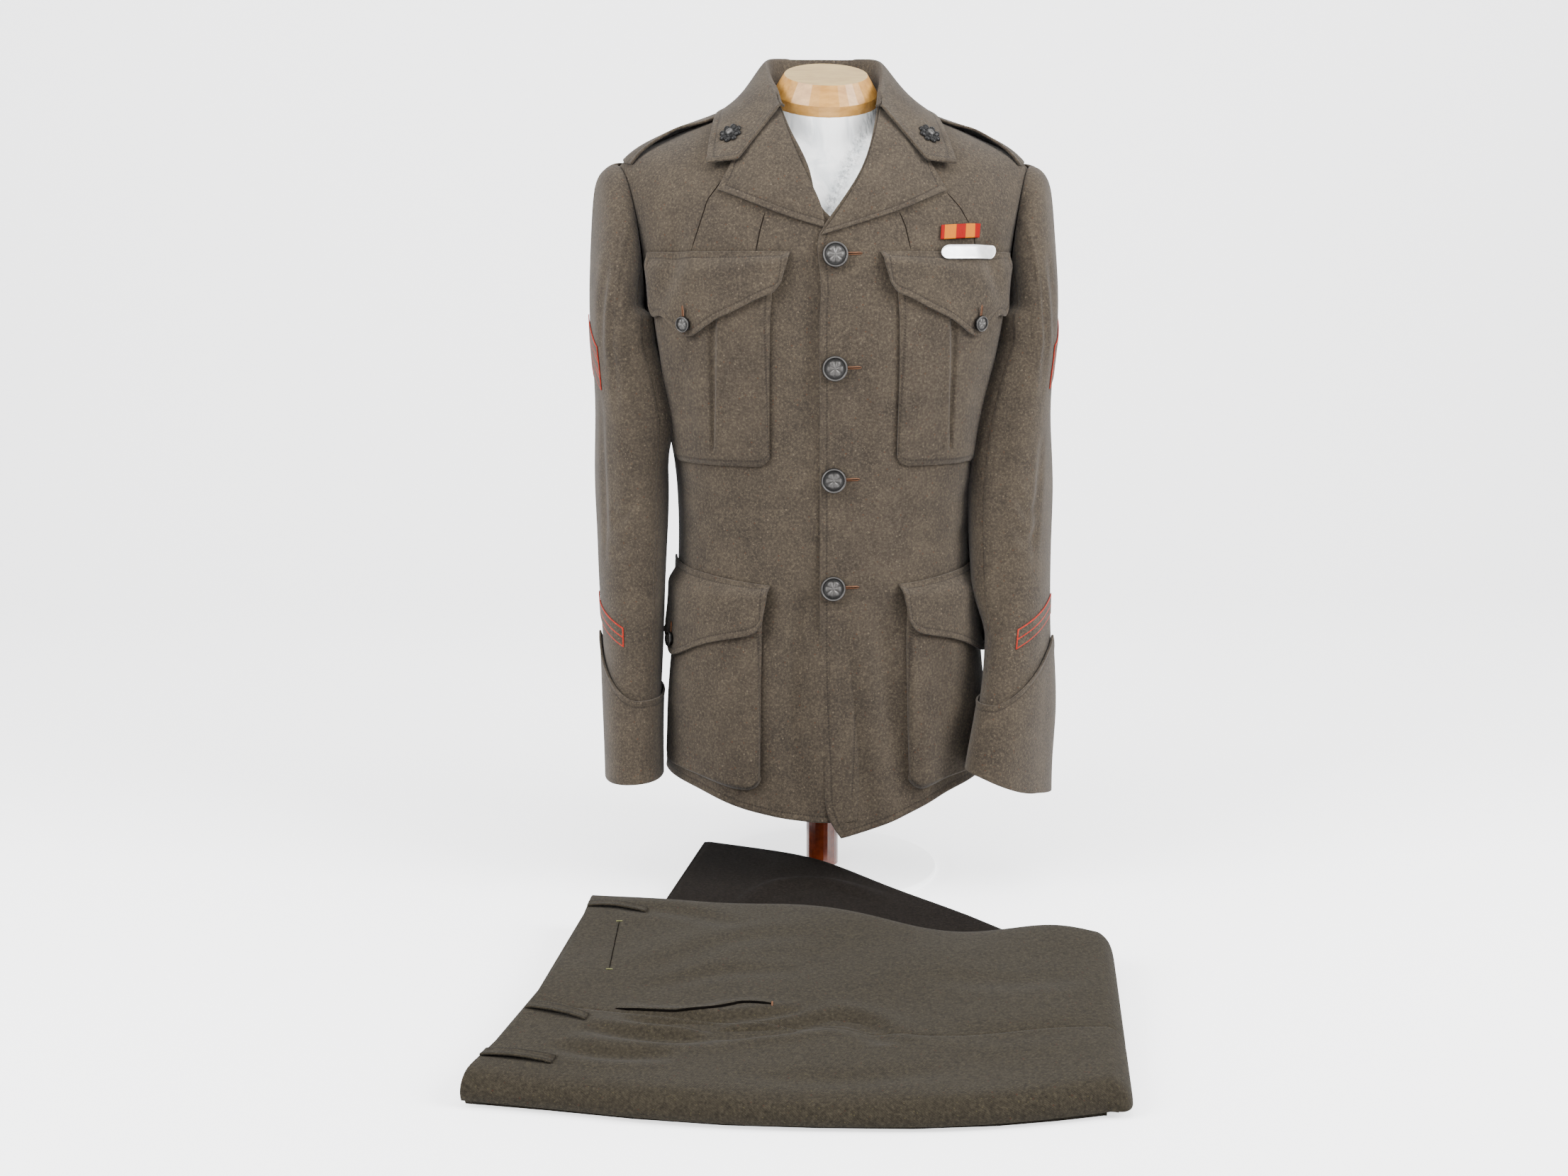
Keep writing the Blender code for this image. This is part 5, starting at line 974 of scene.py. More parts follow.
def cuffTop(around):
    # height of the cuff's upper edge: square, rising to a point at one angle by a power of the nearness
    cuff = sleeveCut["cuff"]
    signed = np.where(around > 180, around - 360, around)
    gap = np.abs(signed - cuff["at"])
    gap = np.minimum(gap, 360 - gap)
    return cuff["square"] + cuff["point"] * np.maximum(0, 1 - gap / cuff["spread"]) ** 1.4


sleeveCreases = {   # by the angle round the sleeve in tenths of a metre per radian, and height
    "left": [
        fold(0.014, 0.0022, (0.10, 0.665), (0.085, 0.615), (0.075, 0.560)),
        fold(0.005, -0.0014, (0.138, 0.720), (0.140, 0.640), (0.132, 0.545)),
        fold(0.013, 0.0020, (0.13, 0.640), (0.120, 0.590), (0.100, 0.520)),
        fold(0.008, 0.0026, (0.150, 0.430), (0.110, 0.405), (0.070, 0.410)),
        fold(0.008, 0.0022, (0.150, 0.395), (0.105, 0.375), (0.060, 0.385)),
        fold(0.012, 0.0022, (0.080, 0.480), (0.070, 0.420), (0.085, 0.350)),
        fold(0.010, 0.0026, (-0.110, 0.430), (-0.080, 0.400), (-0.040, 0.405)),
        fold(0.011, 0.0030, (-0.100, 0.640), (-0.085, 0.580), (-0.070, 0.520)),
    ],
    "right": [
        fold(0.014, 0.0022, (0.11, 0.660), (0.090, 0.610), (0.085, 0.550)),
        fold(0.005, -0.0014, (0.138, 0.720), (0.140, 0.640), (0.132, 0.545)),
        fold(0.013, 0.0020, (0.14, 0.640), (0.130, 0.580), (0.115, 0.500)),
        fold(0.008, 0.0024, (0.155, 0.425), (0.120, 0.400), (0.080, 0.405)),
        fold(0.008, 0.0020, (0.150, 0.385), (0.115, 0.366), (0.070, 0.372)),
        fold(0.013, 0.0022, (0.060, 0.520), (0.052, 0.440), (0.060, 0.350)),
        fold(0.010, 0.0026, (-0.110, 0.430), (-0.080, 0.395), (-0.040, 0.400)),
        fold(0.011, 0.0030, (-0.100, 0.640), (-0.085, 0.580), (-0.070, 0.520)),
    ],
}


sleeveRest = {"gap": 0.0020, "most": 0.0140, "left": (0.27, 0.33), "right": (0.44, 0.50)}


def restOnBody(around, points, side):
    # the arm hangs against the body: cloth on the inner side
    # bulges towards it, by the room there is at its y and z
    half, front, back = bodySizes(points[..., 2])
    y = points[..., 1]
    depth = np.where(y < 0, front, back)
    power = np.where(y < 0, bodyCut["frontPower"], bodyCut["backPower"])
    body = half * np.maximum(1 - np.minimum(np.abs(y) / depth, 1) ** power, 0) ** (1 / power)
    room = points[..., 0] - body - cloth["coat"] - sleeveRest["gap"]
    window = ease(95, 135, around) * (1 - ease(215, 260, around))
    window = window * ease(*sleeveRest[side], points[..., 2]) * (1 - ease(0.600, 0.614, points[..., 2]))
    return np.clip(room, 0, sleeveRest["most"]) * window


def sleeveRelief(around, z, side, down=0.5):
    # creases and slow waves on the side away from the body;
    # the cloth next to the body and at the armhole stays put
    signed = np.where(around > 180, around - 360, around)
    slow = 0.0009 * np.sin(signed / 23 + 22 * z) + 0.0007 * np.sin(signed / 37 - 41 * z + 1.0)
    free = 1 - ease(95, 135, np.abs(signed))
    head = 0.0016 * np.exp(-((down - 0.06) / 0.035) ** 2) * (1 - ease(70, 120, np.abs(signed)))
    hold = ease(0.0, 0.03, down) * ease(0.0, 0.10, z - 0.26)
    return (creases(np.radians(signed) * 0.1, z, sleeveCreases[side]) + slow) * free * hold + head


def makeSleeves():
    # upper and under sleeve are walls off the sleeve's points, and the cuff is a wall off the tube
    (first, last), seam, grid = sleeveCut["seams"], sleeveCut["seamHalf"], sleeveCut["grid"]
    for side, flip in sides.items():
        for name, around in (("upper", np.linspace(last - 360 + seam, first - seam, grid["upper"]) % 360),
                             ("under", np.linspace(first + seam, last - seam, grid["under"]))):
            points = sleevePoints(side, around, grid["cap"], grid["tube"])
            core = armCore(points)
            relief = sleeveRelief(around[:, None] + 0 * points[..., 2], points[..., 2], side,
                                  np.linspace(0, 1, points.shape[1])[None, :])
            relief = relief + restOnBody(around[:, None] + 0 * points[..., 2], points, side)
            clothWall("sleeve_" + name + "_cloth_" + side, flip(points), cloth["coat"], coatWool, flip(core),
                      "sleeve_" + side + "_" + name, relief=relief)
        around = np.linspace(*sleeveCut["cuff"]["around"], grid["cuff"])
        low = sleeveHem(side, around) + 0.0004
        z = low[:, None] + (cuffTop(around % 360) - low)[:, None] * spread(grid["cuffRows"], 0.7)[None, :]
        points = sleeveSection(side, around[:, None] + 0 * z, z, cloth["coat"] + sleeveCut["cuff"]["gap"])
        clothWall("cuff_cloth_" + side, flip(points), cloth["pocket"], coatEdge,
                  flip(np.array([0.200, -0.05, 0.0]) + axisCore(points)), "cuff_" + side,
                  stitched="d")


makeSleeves()
print("sleeves made")


# Chevrons and service stripes on the sleeves: coat cloth with lines of red felt

chevronCut = {"middle": -1.0, "half": 40.0, "top": 0.602, "fall": 0.030, "tall": 0.044, "bars": 3,
              "bar": 0.0115, "grid": (57, 76)}
serviceCut = {"from": -12.0, "to": 68.0, "fromZ": 0.301, "toZ": 0.277, "tall": 0.0195, "grid": (70, 40)}
badgeWall = {"wall": 0.0010, "gap": 0.0004, "line": 0.0007}


def redLines(points, places):
    # distance to the nearest line: at the given shares up the piece, and down both its ends
    u, v = arcLengths(points)
    tall = v[:, -1:]
    lines = [np.abs(v - np.clip(share * tall, 0.0004, tall - 0.0004)) for share in places]
    lines += [np.abs(u - 0.0004), np.abs(u[-1:] - u - 0.0004)]
    return np.min(lines, axis=0) + 0.0010 - badgeWall["line"]


def makeSleeveBadges():
    # chevrons: height falls from the middle by a power of the distance; stripes: a slanted band; both lie
    # on the creased sleeve
    for side, flip in sides.items():
        out = cloth["coat"] + badgeWall["gap"]
        cut = chevronCut
        columns, rows = cut["grid"]
        across, up = np.linspace(-1, 1, columns)[:, None], np.linspace(0, 1, rows)[None, :]
        z = cut["top"] - cut["fall"] * np.abs(across) ** 0.9 - cut["tall"] * (1 - up)
        around = (cut["middle"] + cut["half"] * across[:, 0]) % 360
        full = sleevePoints(side, around, 40, 130)
        bare = np.array([[np.interp(-h, -column[:, 2], column[:, k]) for k in (0, 1)]
                         for h, column in zip(z, full)])
        points = np.concatenate([bare.transpose(0, 2, 1), z[..., None]], -1)
        normals = gridNormals(points, armCore(points))
        lift = out + sleeveRelief(around[:, None] + 0 * z, z, side)
        points = points + normals * lift[..., None]
        step = (1 - cut["bar"] / cut["tall"]) / (cut["bars"] - 1)
        places = [k * step + far for k in range(cut["bars"]) for far in (0, cut["bar"] / cut["tall"])]
        core = armCore(points)
        clothWall("chevron_cloth_" + side, flip(points), badgeWall["wall"], stripeWool, flip(core),
                  "chevron_" + side,
                  lines=redLines(points, places))
        cut = serviceCut
        columns, rows = cut["grid"]
        along, up = np.linspace(0, 1, columns)[:, None], np.linspace(-0.5, 0.5, rows)[None, :]
        z = cut["fromZ"] + (cut["toZ"] - cut["fromZ"]) * along + cut["tall"] * up
        around = cut["from"] + (cut["to"] - cut["from"]) * along + 0 * z
        points = sleeveSection(side, around, z, out + sleeveRelief(around, z, side))
        core = armCore(points)
        clothWall("service_stripe_cloth_" + side, flip(points), badgeWall["wall"], stripeWool, flip(core),
                  "service_stripe_" + side,
                  lines=redLines(points, (0.0, 0.5, 1.0)))


makeSleeveBadges()
print("chevrons and stripes made")


# Pockets

breastFlap = {
    "share":  (0.00, 0.06, 0.14, 0.30, 0.50, 0.66, 0.78, 0.88, 0.96, 1.00),
    "top":    (9.2, 11.5, 15.0, 23.0, 34.3, 44.0, 52.0, 59.0, 65.0, 67.5),
    "bottom": (11.6, 13.4, 16.5, 25.0, 36.5, 44.8, 52.0, 59.0, 64.5, 67.0),
    "z":      (0.6370, 0.6285, 0.6235, 0.6110, 0.5955, 0.5860, 0.5965, 0.6040, 0.6060, 0.6200),
    "topZ":   (0.6650,) * 10,
}
breastBag = {"top": (14.0, 64.0), "bottom": (18.4, 73.0), "topZ": 0.6480, "bottomZ": 0.4565,
             "rise": 0.0, "corner": 0.012, "puff": 0.0030, "steep": 0.030, "grid": (144, 76)}
lowerFlap = {
    "share":  (0.00, 0.06, 0.14, 0.30, 0.50, 0.64, 0.76, 0.88, 0.96, 1.00),
    "top":    (20.0, 23.5, 28.0, 37.0, 51.0, 61.5, 71.0, 81.0, 87.5, 91.0),
    "bottom": (21.6, 23.8, 28.5, 38.0, 54.0, 68.0, 74.0, 82.0, 87.5, 90.5),
    "z":      (0.3010, 0.2905, 0.2845, 0.2790, 0.2660, 0.2540, 0.2630, 0.2740, 0.2780, 0.2900),
    "topZ":   (0.3350, 0.3355, 0.3365, 0.3390, 0.3425, 0.3445, 0.3460, 0.3475, 0.3485, 0.3490),
}
lowerBag = {"top": (23.5, 77.0), "bottom": (21.8, 74.0), "topZ": 0.3220, "bottomZ": 0.1250,
            "rise": 0.0140, "corner": 0.016, "puff": 0.0070, "steep": 0.022, "grid": (92, 76)}
lowerShift = {"left": 1.0, "right": -1.0}
flapLay = {"grid": (110, 42), "off": 0.0003, "drop": 0.0013}


def bagGrid(bag, shift, columns, rows):
    # a patch pocket by angle, height and stand-off, with its lower corners rounded up
    edges, climb = spread(columns, 0.75)[:, None], spread(rows, 0.75)[None, :]
    angle = (bag["bottom"][0] + (bag["top"][0] - bag["bottom"][0]) * climb) * (1 - edges)
    angle = angle + (bag["bottom"][1] + (bag["top"][1] - bag["bottom"][1]) * climb) * edges + shift
    bottom = bag["bottomZ"] + bag["rise"] * edges
    near = np.minimum(edges, 1 - edges)
    corner = bag["corner"] * (1 - np.sqrt(np.maximum(1 - np.maximum(1 - near / 0.10, 0) ** 2, 0)))
    z = bottom + corner + (bag["topZ"] - bottom - corner) * climb
    inside = np.minimum(ease(0, bag["steep"], near), ease(0, bag["steep"], climb))
    crown = 0.75 + 0.25 * np.sin(math.pi * edges)
    return angle + 0 * z, z, bag["puff"] * inside * crown * (1 - 0.45 * ease(0.75, 1.0, climb))


def flapGrid(flap, shift, columns, rows):
    # a flap by angle, height and share down it: its outline's four curves are splines along its width
    share = np.linspace(0, 1, columns)
    keys = ("top", "bottom", "z", "topZ")
    top, bottom, low, high = [cubic(flap["share"], flap[key], share)[:, None] for key in keys]
    down = spread(rows, 0.6)[None, :]
    return top + (bottom - top) * down + shift, high + (low - high) * down, down


def pleatDip(x, z, pleat):
    # an open pleat: a raised fold on one side that drops steeply, wider at the top, closed at the bottom tack
    share = np.clip((z - pleat["foot"]) / (pleat["head"] - pleat["foot"]), 0, 1)
    gape = pleat["open"] * (0.25 + 0.75 * share) * (z > pleat["foot"])
    off = (np.abs(x) - pleat["x"]) / np.maximum(gape, 0.0004)
    dip = np.exp(-np.abs(off) ** 3) * pleat["deep"]
    lip = 0.0009 * np.exp(-((np.abs(x) - pleat["x"] + 0.0052) / 0.0030) ** 2)
    return (lip - dip) * ease(pleat["foot"] - 0.002, pleat["foot"] + 0.006, z)


breastPleat = {"x": 0.1165, "foot": 0.4700, "head": 0.6000, "open": 0.0040, "deep": 0.0034}


def makePockets():
    # bags stand off the body by their puff, and flaps lie over them, tapering on to the cloth at one side
    for side, flip in sides.items():
        for kind, bag, flap in (("breast", breastBag, breastFlap), ("lower", lowerBag, lowerFlap)):
            shift = lowerShift[side] if kind == "lower" else 0.0
            angle, z, puff = bagGrid(bag, shift, *bag["grid"])
            under = offBody(angle, z, cloth["coat"] + 0 * z)
            lift = frontLap(under[..., 0], z) if side == "left" else 0 * z
            points = flip(offBody(angle, z, cloth["coat"] + cloth["lay"] + flapLay["off"] + lift + puff))
            relief = coatRelief(points, side)
            if kind == "breast":
                relief = relief + pleatDip(under[..., 0], z, breastPleat)
            clothWall(kind + "_pocket_cloth_" + side, points, cloth["pocket"], coatEdge, axisCore(points),
                      kind + "_pocket_bag_" + side, relief=relief, stitched="abc", welt=0.0004)
            angle, z, down = flapGrid(flap, shift, *flapLay["grid"])
            lift = frontLap(bodyPoint(angle, z)[..., 0], z) if side == "left" else 0 * z
            rise = bag["puff"] + cloth["pocket"] + 2 * cloth["lay"]
            flatFrom = 0.86 if kind == "lower" else 0.97
            lie = (1 - ease(flatFrom, flatFrom + 0.09, np.linspace(0, 1, flapLay["grid"][0])))[:, None]
            out = cloth["coat"] + cloth["lay"] + lift + flapLay["off"] + rise * ease(0.0, 0.30, down) * lie
            out = out + flapLay["drop"] * ease(0.45, 1.0, down) * lie
            points = flip(offBody(angle, z, out))
            clothWall(kind + "_flap_cloth_" + side, points, cloth["pocket"], coatEdge, axisCore(points),
                      kind + "_pocket_flap_" + side, relief=coatRelief(points, side),
                      stitched="abcd")


makePockets()
print("pockets made")


# Buttons, collar devices and bars

buttonCut = {"petals": 6, "leaves": 8, "raised": 0.13, "frontRadius": 0.0126, "frontTall": 0.0065,
             "pocketRadius": 0.0079, "pocketTall": 0.0045, "deviceRadius": 0.0122}


def buttonShape(radius, tall, petals):
    # rim and domed field with a generic rosette: height is a cosine dome plus petals, then the turned edge
    shares = np.array([0.04, 0.10, 0.17, 0.24, 0.31, 0.38, 0.45, 0.52, 0.59, 0.66, 0.72,
                       0.77, 0.80, 0.83, 0.87, 0.91, 0.95, 0.985, 1.0, 0.985, 0.95, 0.88])
    edge = np.array([0.70, 0.68, 0.72, 0.90, 0.95, 0.90, 0.74, 0.52, 0.28, 0.08, 0.0])

    def shape(turn):
        # radius and height at each share and angle: dome, petals by a raised cosine, and the turned edge
        rose = (0.5 + 0.5 * np.cos(petals * turn))[None, :] ** 0.7
        dome = 0.74 + 0.14 * np.cos(math.pi / 2 * shares[:11] / 0.78)
        spot = ease(0.10, 0.20, shares[:11]) * (1 - ease(0.52, 0.66, shares[:11]))
        eye = 1 - ease(0.06, 0.12, shares[:11])
        face = dome[:, None] + buttonCut["raised"] * (spot[:, None] * rose + eye[:, None])
        height = np.concatenate([face, edge[:, None] + 0 * turn], axis=0)
        return radius * shares[:, None] + 0 * turn, tall * height

    return shape


def deviceShape(radius, leaves):
    # a stamped badge of leaves round a dome: the outline and the height both follow the leaves
    shares = np.array([0.05, 0.13, 0.21, 0.29, 0.35, 0.40, 0.46, 0.54,
                       0.63, 0.72, 0.81, 0.90, 0.97, 1.0, 0.96, 0.88])
    core = np.array([4.8, 4.7, 4.4, 3.9, 3.2, 2.4, 1.7, 1.5, 1.5, 1.4, 1.3, 1.1, 0.8, 0.5, 0.1, 0.0]) / 1000

    def shape(turn):
        # radius and height at each share and angle: both shrink between the leaves
        leaf = np.abs(np.cos(leaves / 2 * turn))[None, :] ** 0.6
        far = ease(0.40, 0.62, shares)[:, None]
        low = (1 - ease(0.93, 1.0, shares))[:, None] * (np.arange(len(shares)) < 13)[:, None]
        return (radius * shares[:, None] * (1 - 0.30 * far * (1 - leaf)),
                core[:, None] + 0.0013 * far * low * leaf ** 1.5)

    return shape


def makeButton(name, kind, shape, up=0.0, side="left", around=72):
    # a turned piece at its node's place, moved out with the creased cloth by up; gives the place and its axis
    place, axis = nodeDisc(name)
    if up:
        place = place + axis * (coatRelief(place[None, None], side)[0, 0] + up)
    turnedPiece(kind + "_" + name, shape, place, axis, darkBronze, name, around)
    return place, axis


def makeButtons():
    # buttons and devices on their nodes' places, moved with the creased cloth; a worked hole beside each
    for i in range(4):
        name = "front_button_" + str(i + 1)
        shape = buttonShape(buttonCut["frontRadius"], buttonCut["frontTall"], buttonCut["petals"])
        place, axis = makeButton(name, "turned", shape, 0.0002)
        out = cloth["coat"] + 0.0002
        path, normals = chestPath([(0.0090, place[2] + 0.0004), (0.0262, place[2] + 0.0008)], out, "left")
        strip("buttonhole_" + name, path, normals, 0.0030, 0.0011, rustThread)
        strip("buttonhole_slit_" + name, path + normals * 0.0005, normals, 0.0009, 0.0007, holeDark)
    for side in ("left", "right"):
        for kind in ("breast", "lower"):
            name = kind + "_flap_button_" + side
            shape = buttonShape(buttonCut["pocketRadius"], buttonCut["pocketTall"], buttonCut["petals"])
            place, axis = makeButton(name, "turned", shape, 0.0016, side, 60)
            up = unit(np.cross(axis, np.cross(np.array([0, 0, 1.0]), axis)))
            line = place + up * np.linspace(0.0055, 0.0185, 16)[:, None] + axis * 0.0002
            strip("buttonhole_" + name, line, axis + 0 * line, 0.0026, 0.0013, rustThread)
            strip("buttonhole_slit_" + name, line + axis * 0.0005, axis + 0 * line, 0.0008, 0.0008, holeDark)
        shape = deviceShape(buttonCut["deviceRadius"], buttonCut["leaves"])
        makeButton("collar_device_" + side, "stamped", shape, around=96)


barCut = {
    "ribbon": {"from": 28.0, "to": 44.0, "z": 0.6850, "tall": 0.0125, "off": 0.0004, "wall": 0.0022,
               "tilt": 0.0022, "round": 0.0},
    "badge": {"from": 27.8, "to": 54.0, "z": 0.6650, "tall": 0.0125, "off": 0.0044, "wall": 0.0012,
              "tilt": 0.0006, "round": 0.22},
    "grid": (90, 24),
}


def makeBars():
    # bars follow the chest: ends are straight or rounded by a quarter circle, and the badge's rim is lower
    columns, rows = barCut["grid"]
    for name, finish, slot in (("ribbon", ribbonSilk, "ribbon"), ("badge", satinSilver, "silver")):
        cut = barCut[name]
        ends = spread(columns, 0.9)[:, None] * 2 - 1
        if cut["round"]:
            past = np.maximum(np.abs(ends) - 1 + cut["round"], 0) / cut["round"]
            half = np.sqrt(np.maximum(1 - past ** 2, 0.002))
        else:
            half = np.ones_like(ends)
        up = (spread(rows, 0.8) * 2 - 1)[None, :]
        angle = cut["from"] + (cut["to"] - cut["from"]) * (ends + 1) / 2 + 0 * up
        z = cut["z"] + cut["tall"] / 2 * half * up + cut["tilt"] * ends / 2
        out = cloth["coat"] + cloth["lay"] + cut["off"] + 0.0008 * (1 - ends ** 2)
        points = offBody(angle, z, out + coatRelief(bodyPoint(angle, z), "left"))
        fromEdge = np.minimum((1 - np.abs(up)) * half * cut["tall"] / 2, 0.028 * (1 - np.abs(ends)))
        rim = 0.0003 * (1 - ease(0.0, 0.0012, fromEdge))
        clothWall(name + "_face", points, cut["wall"], finish, axisCore(points), name + "_bar",
                  relief=rim if name == "badge" else None)


def makeSeams():
    # darts and tacks as narrow sunk lines on the fronts, by x and height, in wool darkened as painted shade
    darts = {
        "left": [[(0.1130, 0.7227), (0.1260, 0.7080), (0.1349, 0.6930)],
                 [(0.0636, 0.7029), (0.0690, 0.6900), (0.0741, 0.6680)],
                 [(0.1349, 0.6930), (0.1400, 0.6790), (0.1420, 0.6660)]],
        "right": [[(-0.0986, 0.7461), (-0.1220, 0.7150), (-0.1378, 0.6666)],
                  [(-0.0667, 0.7027), (-0.0720, 0.6850), (-0.0760, 0.6660)]],
    }
    for side, lines in darts.items():
        for i, line in enumerate(lines):
            path, normals = chestPath(line, cloth["coat"] - 0.0001, side)
            strip("dart_" + side + "_" + str(i + 1), path, normals, 0.0011, 0.0006, seamShadeWool)


makeButtons()
makeBars()
makeSeams()
print("buttons, bars and seams made")


# Trousers

stackCut = {
    "u":     (0.0, 0.15, 0.30, 0.45, 0.60, 0.75, 0.90, 1.0),
    "farX":  (-0.2415, -0.1720, -0.0990, -0.0260, 0.0440, 0.1140, 0.1900, 0.2300),
    "farY":  (-0.1960, -0.2170, -0.2285, -0.2410, -0.2830, -0.3150, -0.3120, -0.3260),
    "nearX": (-0.3290, -0.2590, -0.1850, -0.1080, -0.0310, 0.0480, 0.1290, 0.1770),
    "nearY": (-0.5790, -0.5960, -0.6160, -0.6310, -0.6390, -0.6430, -0.6360, -0.6270),
    "farZ":  (0.0440, 0.0450, 0.0450, 0.0450, 0.0430, 0.0430, 0.0460, 0.0430),
    "nearZ": (0.0270, 0.0250, 0.0240, 0.0230, 0.0230, 0.0240, 0.0260, 0.0270),
    "waistBow": 0.016, "kneeRound": 0.016, "seam": 0.66, "across": 0.4, "lower": 0.26, "puff": 0.0012,
    "grid": {"along": 104, "knee": 12, "back": 108, "front": 72},
}


def stackPlan(u, across):
    # plan point on the folded stack: between its far and near edges, with the waist's end bowed
    far = np.stack([cubic(stackCut["u"], stackCut[key], u) for key in ("farX", "farY")], -1)
    near = np.stack([cubic(stackCut["u"], stackCut[key], u) for key in ("nearX", "nearY")], -1)
    bow = stackCut["waistBow"] * np.sin(math.pi * np.clip(across, 0, 1)) * (1 - ease(0, 0.35, u))
    return far + (near - far) * across[..., None] + np.stack([bow, 0 * bow], -1)


def stackHeight(u, across):
    # height of the stack's top: from its far edge's to its near edge's, eased
    far, near = cubic(stackCut["u"], stackCut["farZ"], u), cubic(stackCut["u"], stackCut["nearZ"], u)
    return far + (near - far) * ease(-0.15, 1.10, across)


def plyGrid(u, places, shares):
    # the outer ply over the stack: rounded down at its long edges and over the knee fold
    along, across = np.meshgrid(u, places, indexing="ij")
    inside = np.minimum(along, 1.0)
    plan = stackPlan(inside, across)
    height = (stackHeight(inside, np.clip(across, 0, 1)) - cloth["trousers"]) * shares[None, :]
    push = unit(stackPlan(np.array(1.0), np.array(0.5)) - stackPlan(np.array(0.97), np.array(0.5)))
    turn = np.maximum(along - 1.0, 0) * math.radians(90)
    past = stackCut["kneeRound"] * np.sin(turn) * (0.1 + 0.9 * shares[None, :] ** 0.8)
    plan = plan + push * past[..., None]
    low = np.minimum(height, stackCut["lower"] * stackHeight(inside, np.clip(across, 0, 1)))
    height = low + (height - low) * np.cos(turn)
    return np.concatenate([plan, height[..., None]], -1)


trouserCreases = [   # in plan on the folded stack; a negative depth is a ridge, here the pocket's lip
    fold(0.005, -0.0026, (-0.2113, -0.4592), (-0.1750, -0.4690), (-0.1400, -0.4720), (-0.1120, -0.4610),
         (-0.0783, -0.4630), ridge=0.0),
    fold(0.008, 0.0066, (-0.205, -0.482), (-0.160, -0.492), (-0.110, -0.490), (-0.050, -0.481)),
    fold(0.009, 0.0070, (-0.165, -0.490), (-0.120, -0.507), (-0.070, -0.506), (-0.020, -0.492)),
    fold(0.009, 0.0050, (-0.240, -0.497), (-0.200, -0.513), (-0.150, -0.520), (-0.095, -0.515)),
    fold(0.012, 0.0052, (-0.040, -0.490), (-0.005, -0.505), (0.010, -0.545)),
    fold(0.009, 0.0036, (-0.262, -0.530), (-0.215, -0.548), (-0.160, -0.552)),
    fold(0.015, 0.0014, (-0.185, -0.395), (-0.110, -0.335), (-0.030, -0.320)),
    fold(0.011, 0.0012, (-0.190, -0.430), (-0.120, -0.400), (-0.050, -0.405)),
    fold(0.012, 0.0018, (-0.215, -0.250), (-0.160, -0.262), (-0.100, -0.300)),
    fold(0.014, 0.0010, (0.200, -0.430), (0.130, -0.440), (0.060, -0.420)),
    fold(0.014, 0.0010, (0.195, -0.520), (0.120, -0.535), (0.060, -0.520)),
    fold(0.012, 0.0012, (0.060, -0.590), (-0.030, -0.600), (-0.120, -0.585)),
]


def stackRelief(points):
    # the trousers' creases in plan, plus two slow waves
    x, y = points[..., 0], points[..., 1]
    slow = 0.0007 * np.sin(34 * x + 19 * y) + 0.0006 * np.sin(21 * x - 47 * y + 0.8)
    return creases(x, y, trouserCreases) + slow


def makeTrousers():
    # two panels of the outer ply, on both sides of the side seam, which lies a little deeper; gives the
    # points of their flat top
    grid = stackCut["grid"]
    u = np.concatenate([np.linspace(0, 1, grid["along"]), np.linspace(1.05, 1.98, grid["knee"])])
    gap = cloth["seam"] / 2 / stackCut["across"]
    farPlaces = [(0.0, 0.47), (0.0, 0.68), (0.010, 0.89), (0.034, 0.985), (0.10, 1.0), (0.24, 1.0),
                 (0.38, 1.0), (0.52, 1.0), (stackCut["seam"] - gap, 1.0)]
    nearPlaces = [(stackCut["seam"] + gap, 1.0), (0.74, 1.0), (0.83, 1.0), (0.92, 1.0), (0.966, 0.975),
                  (0.990, 0.83), (1.0, 0.55), (0.996, 0.28)]
    below, tops = np.array([-0.05, -0.42, -0.5]), []
    for name, places in (("back", farPlaces), ("front", nearPlaces)):
        table = np.array(places)
        index = np.arange(len(table))
        fine = np.linspace(0, len(table) - 1, grid[name])
        across, share = cubic(index, table[:, 0], fine), np.minimum(cubic(index, table[:, 1], fine), 1.0)
        points = plyGrid(u, across, share)
        flatTop = ease(0.80, 1.0, share)[None, :] * (1 - ease(1.0, 1.3, u))[:, None]
        seam = ease(0.0, 0.03, np.abs(across - stackCut["seam"]))[None, :]
        relief = (stackRelief(points) * flatTop + stackCut["puff"]) * (0.65 + 0.35 * seam)
        top = points + np.array([0, 0, 1.0]) * (relief + cloth["trousers"])[..., None]
        tops.append(top[:, share > 0.95].reshape(-1, 3))
        clothWall("trousers_" + name + "_cloth", points, cloth["trousers"], trouserSerge, below,
                  "trousers_" + name,
                  relief=relief)
    return np.concatenate(tops)


stackTop = makeTrousers()


def onStack(plan, out):
    # height of the folded cloth at plan points: the mean of its nearest vertices, weighed by nearness
    plan = np.asarray(plan, float)
    gap = np.hypot(stackTop[None, :, 0] - plan[:, None, 0], stackTop[None, :, 1] - plan[:, None, 1]) + 1e-5
    best = np.argpartition(gap, 6, axis=1)[:, :6]
    weight = 1 / np.take_along_axis(gap, best, 1) ** 2
    height = (stackTop[best, 2] * weight).sum(axis=1) / weight.sum(axis=1)
    return np.concatenate([plan, height[:, None] + out], axis=1)


def stackLine(name, path, width, tall, finish):
    # a strip along a spline through plan points, laid on the folded cloth
    share = np.linspace(0, 1, len(path))
    fine = np.linspace(0, 1, 40)
    line = onStack(np.stack([cubic(share, np.array(path)[:, k], fine) for k in (0, 1)], -1), slitCut["out"])
    strip(name, line, np.array([0, 0, 1.0]) + 0 * line, width, tall, finish, taper=0.06)


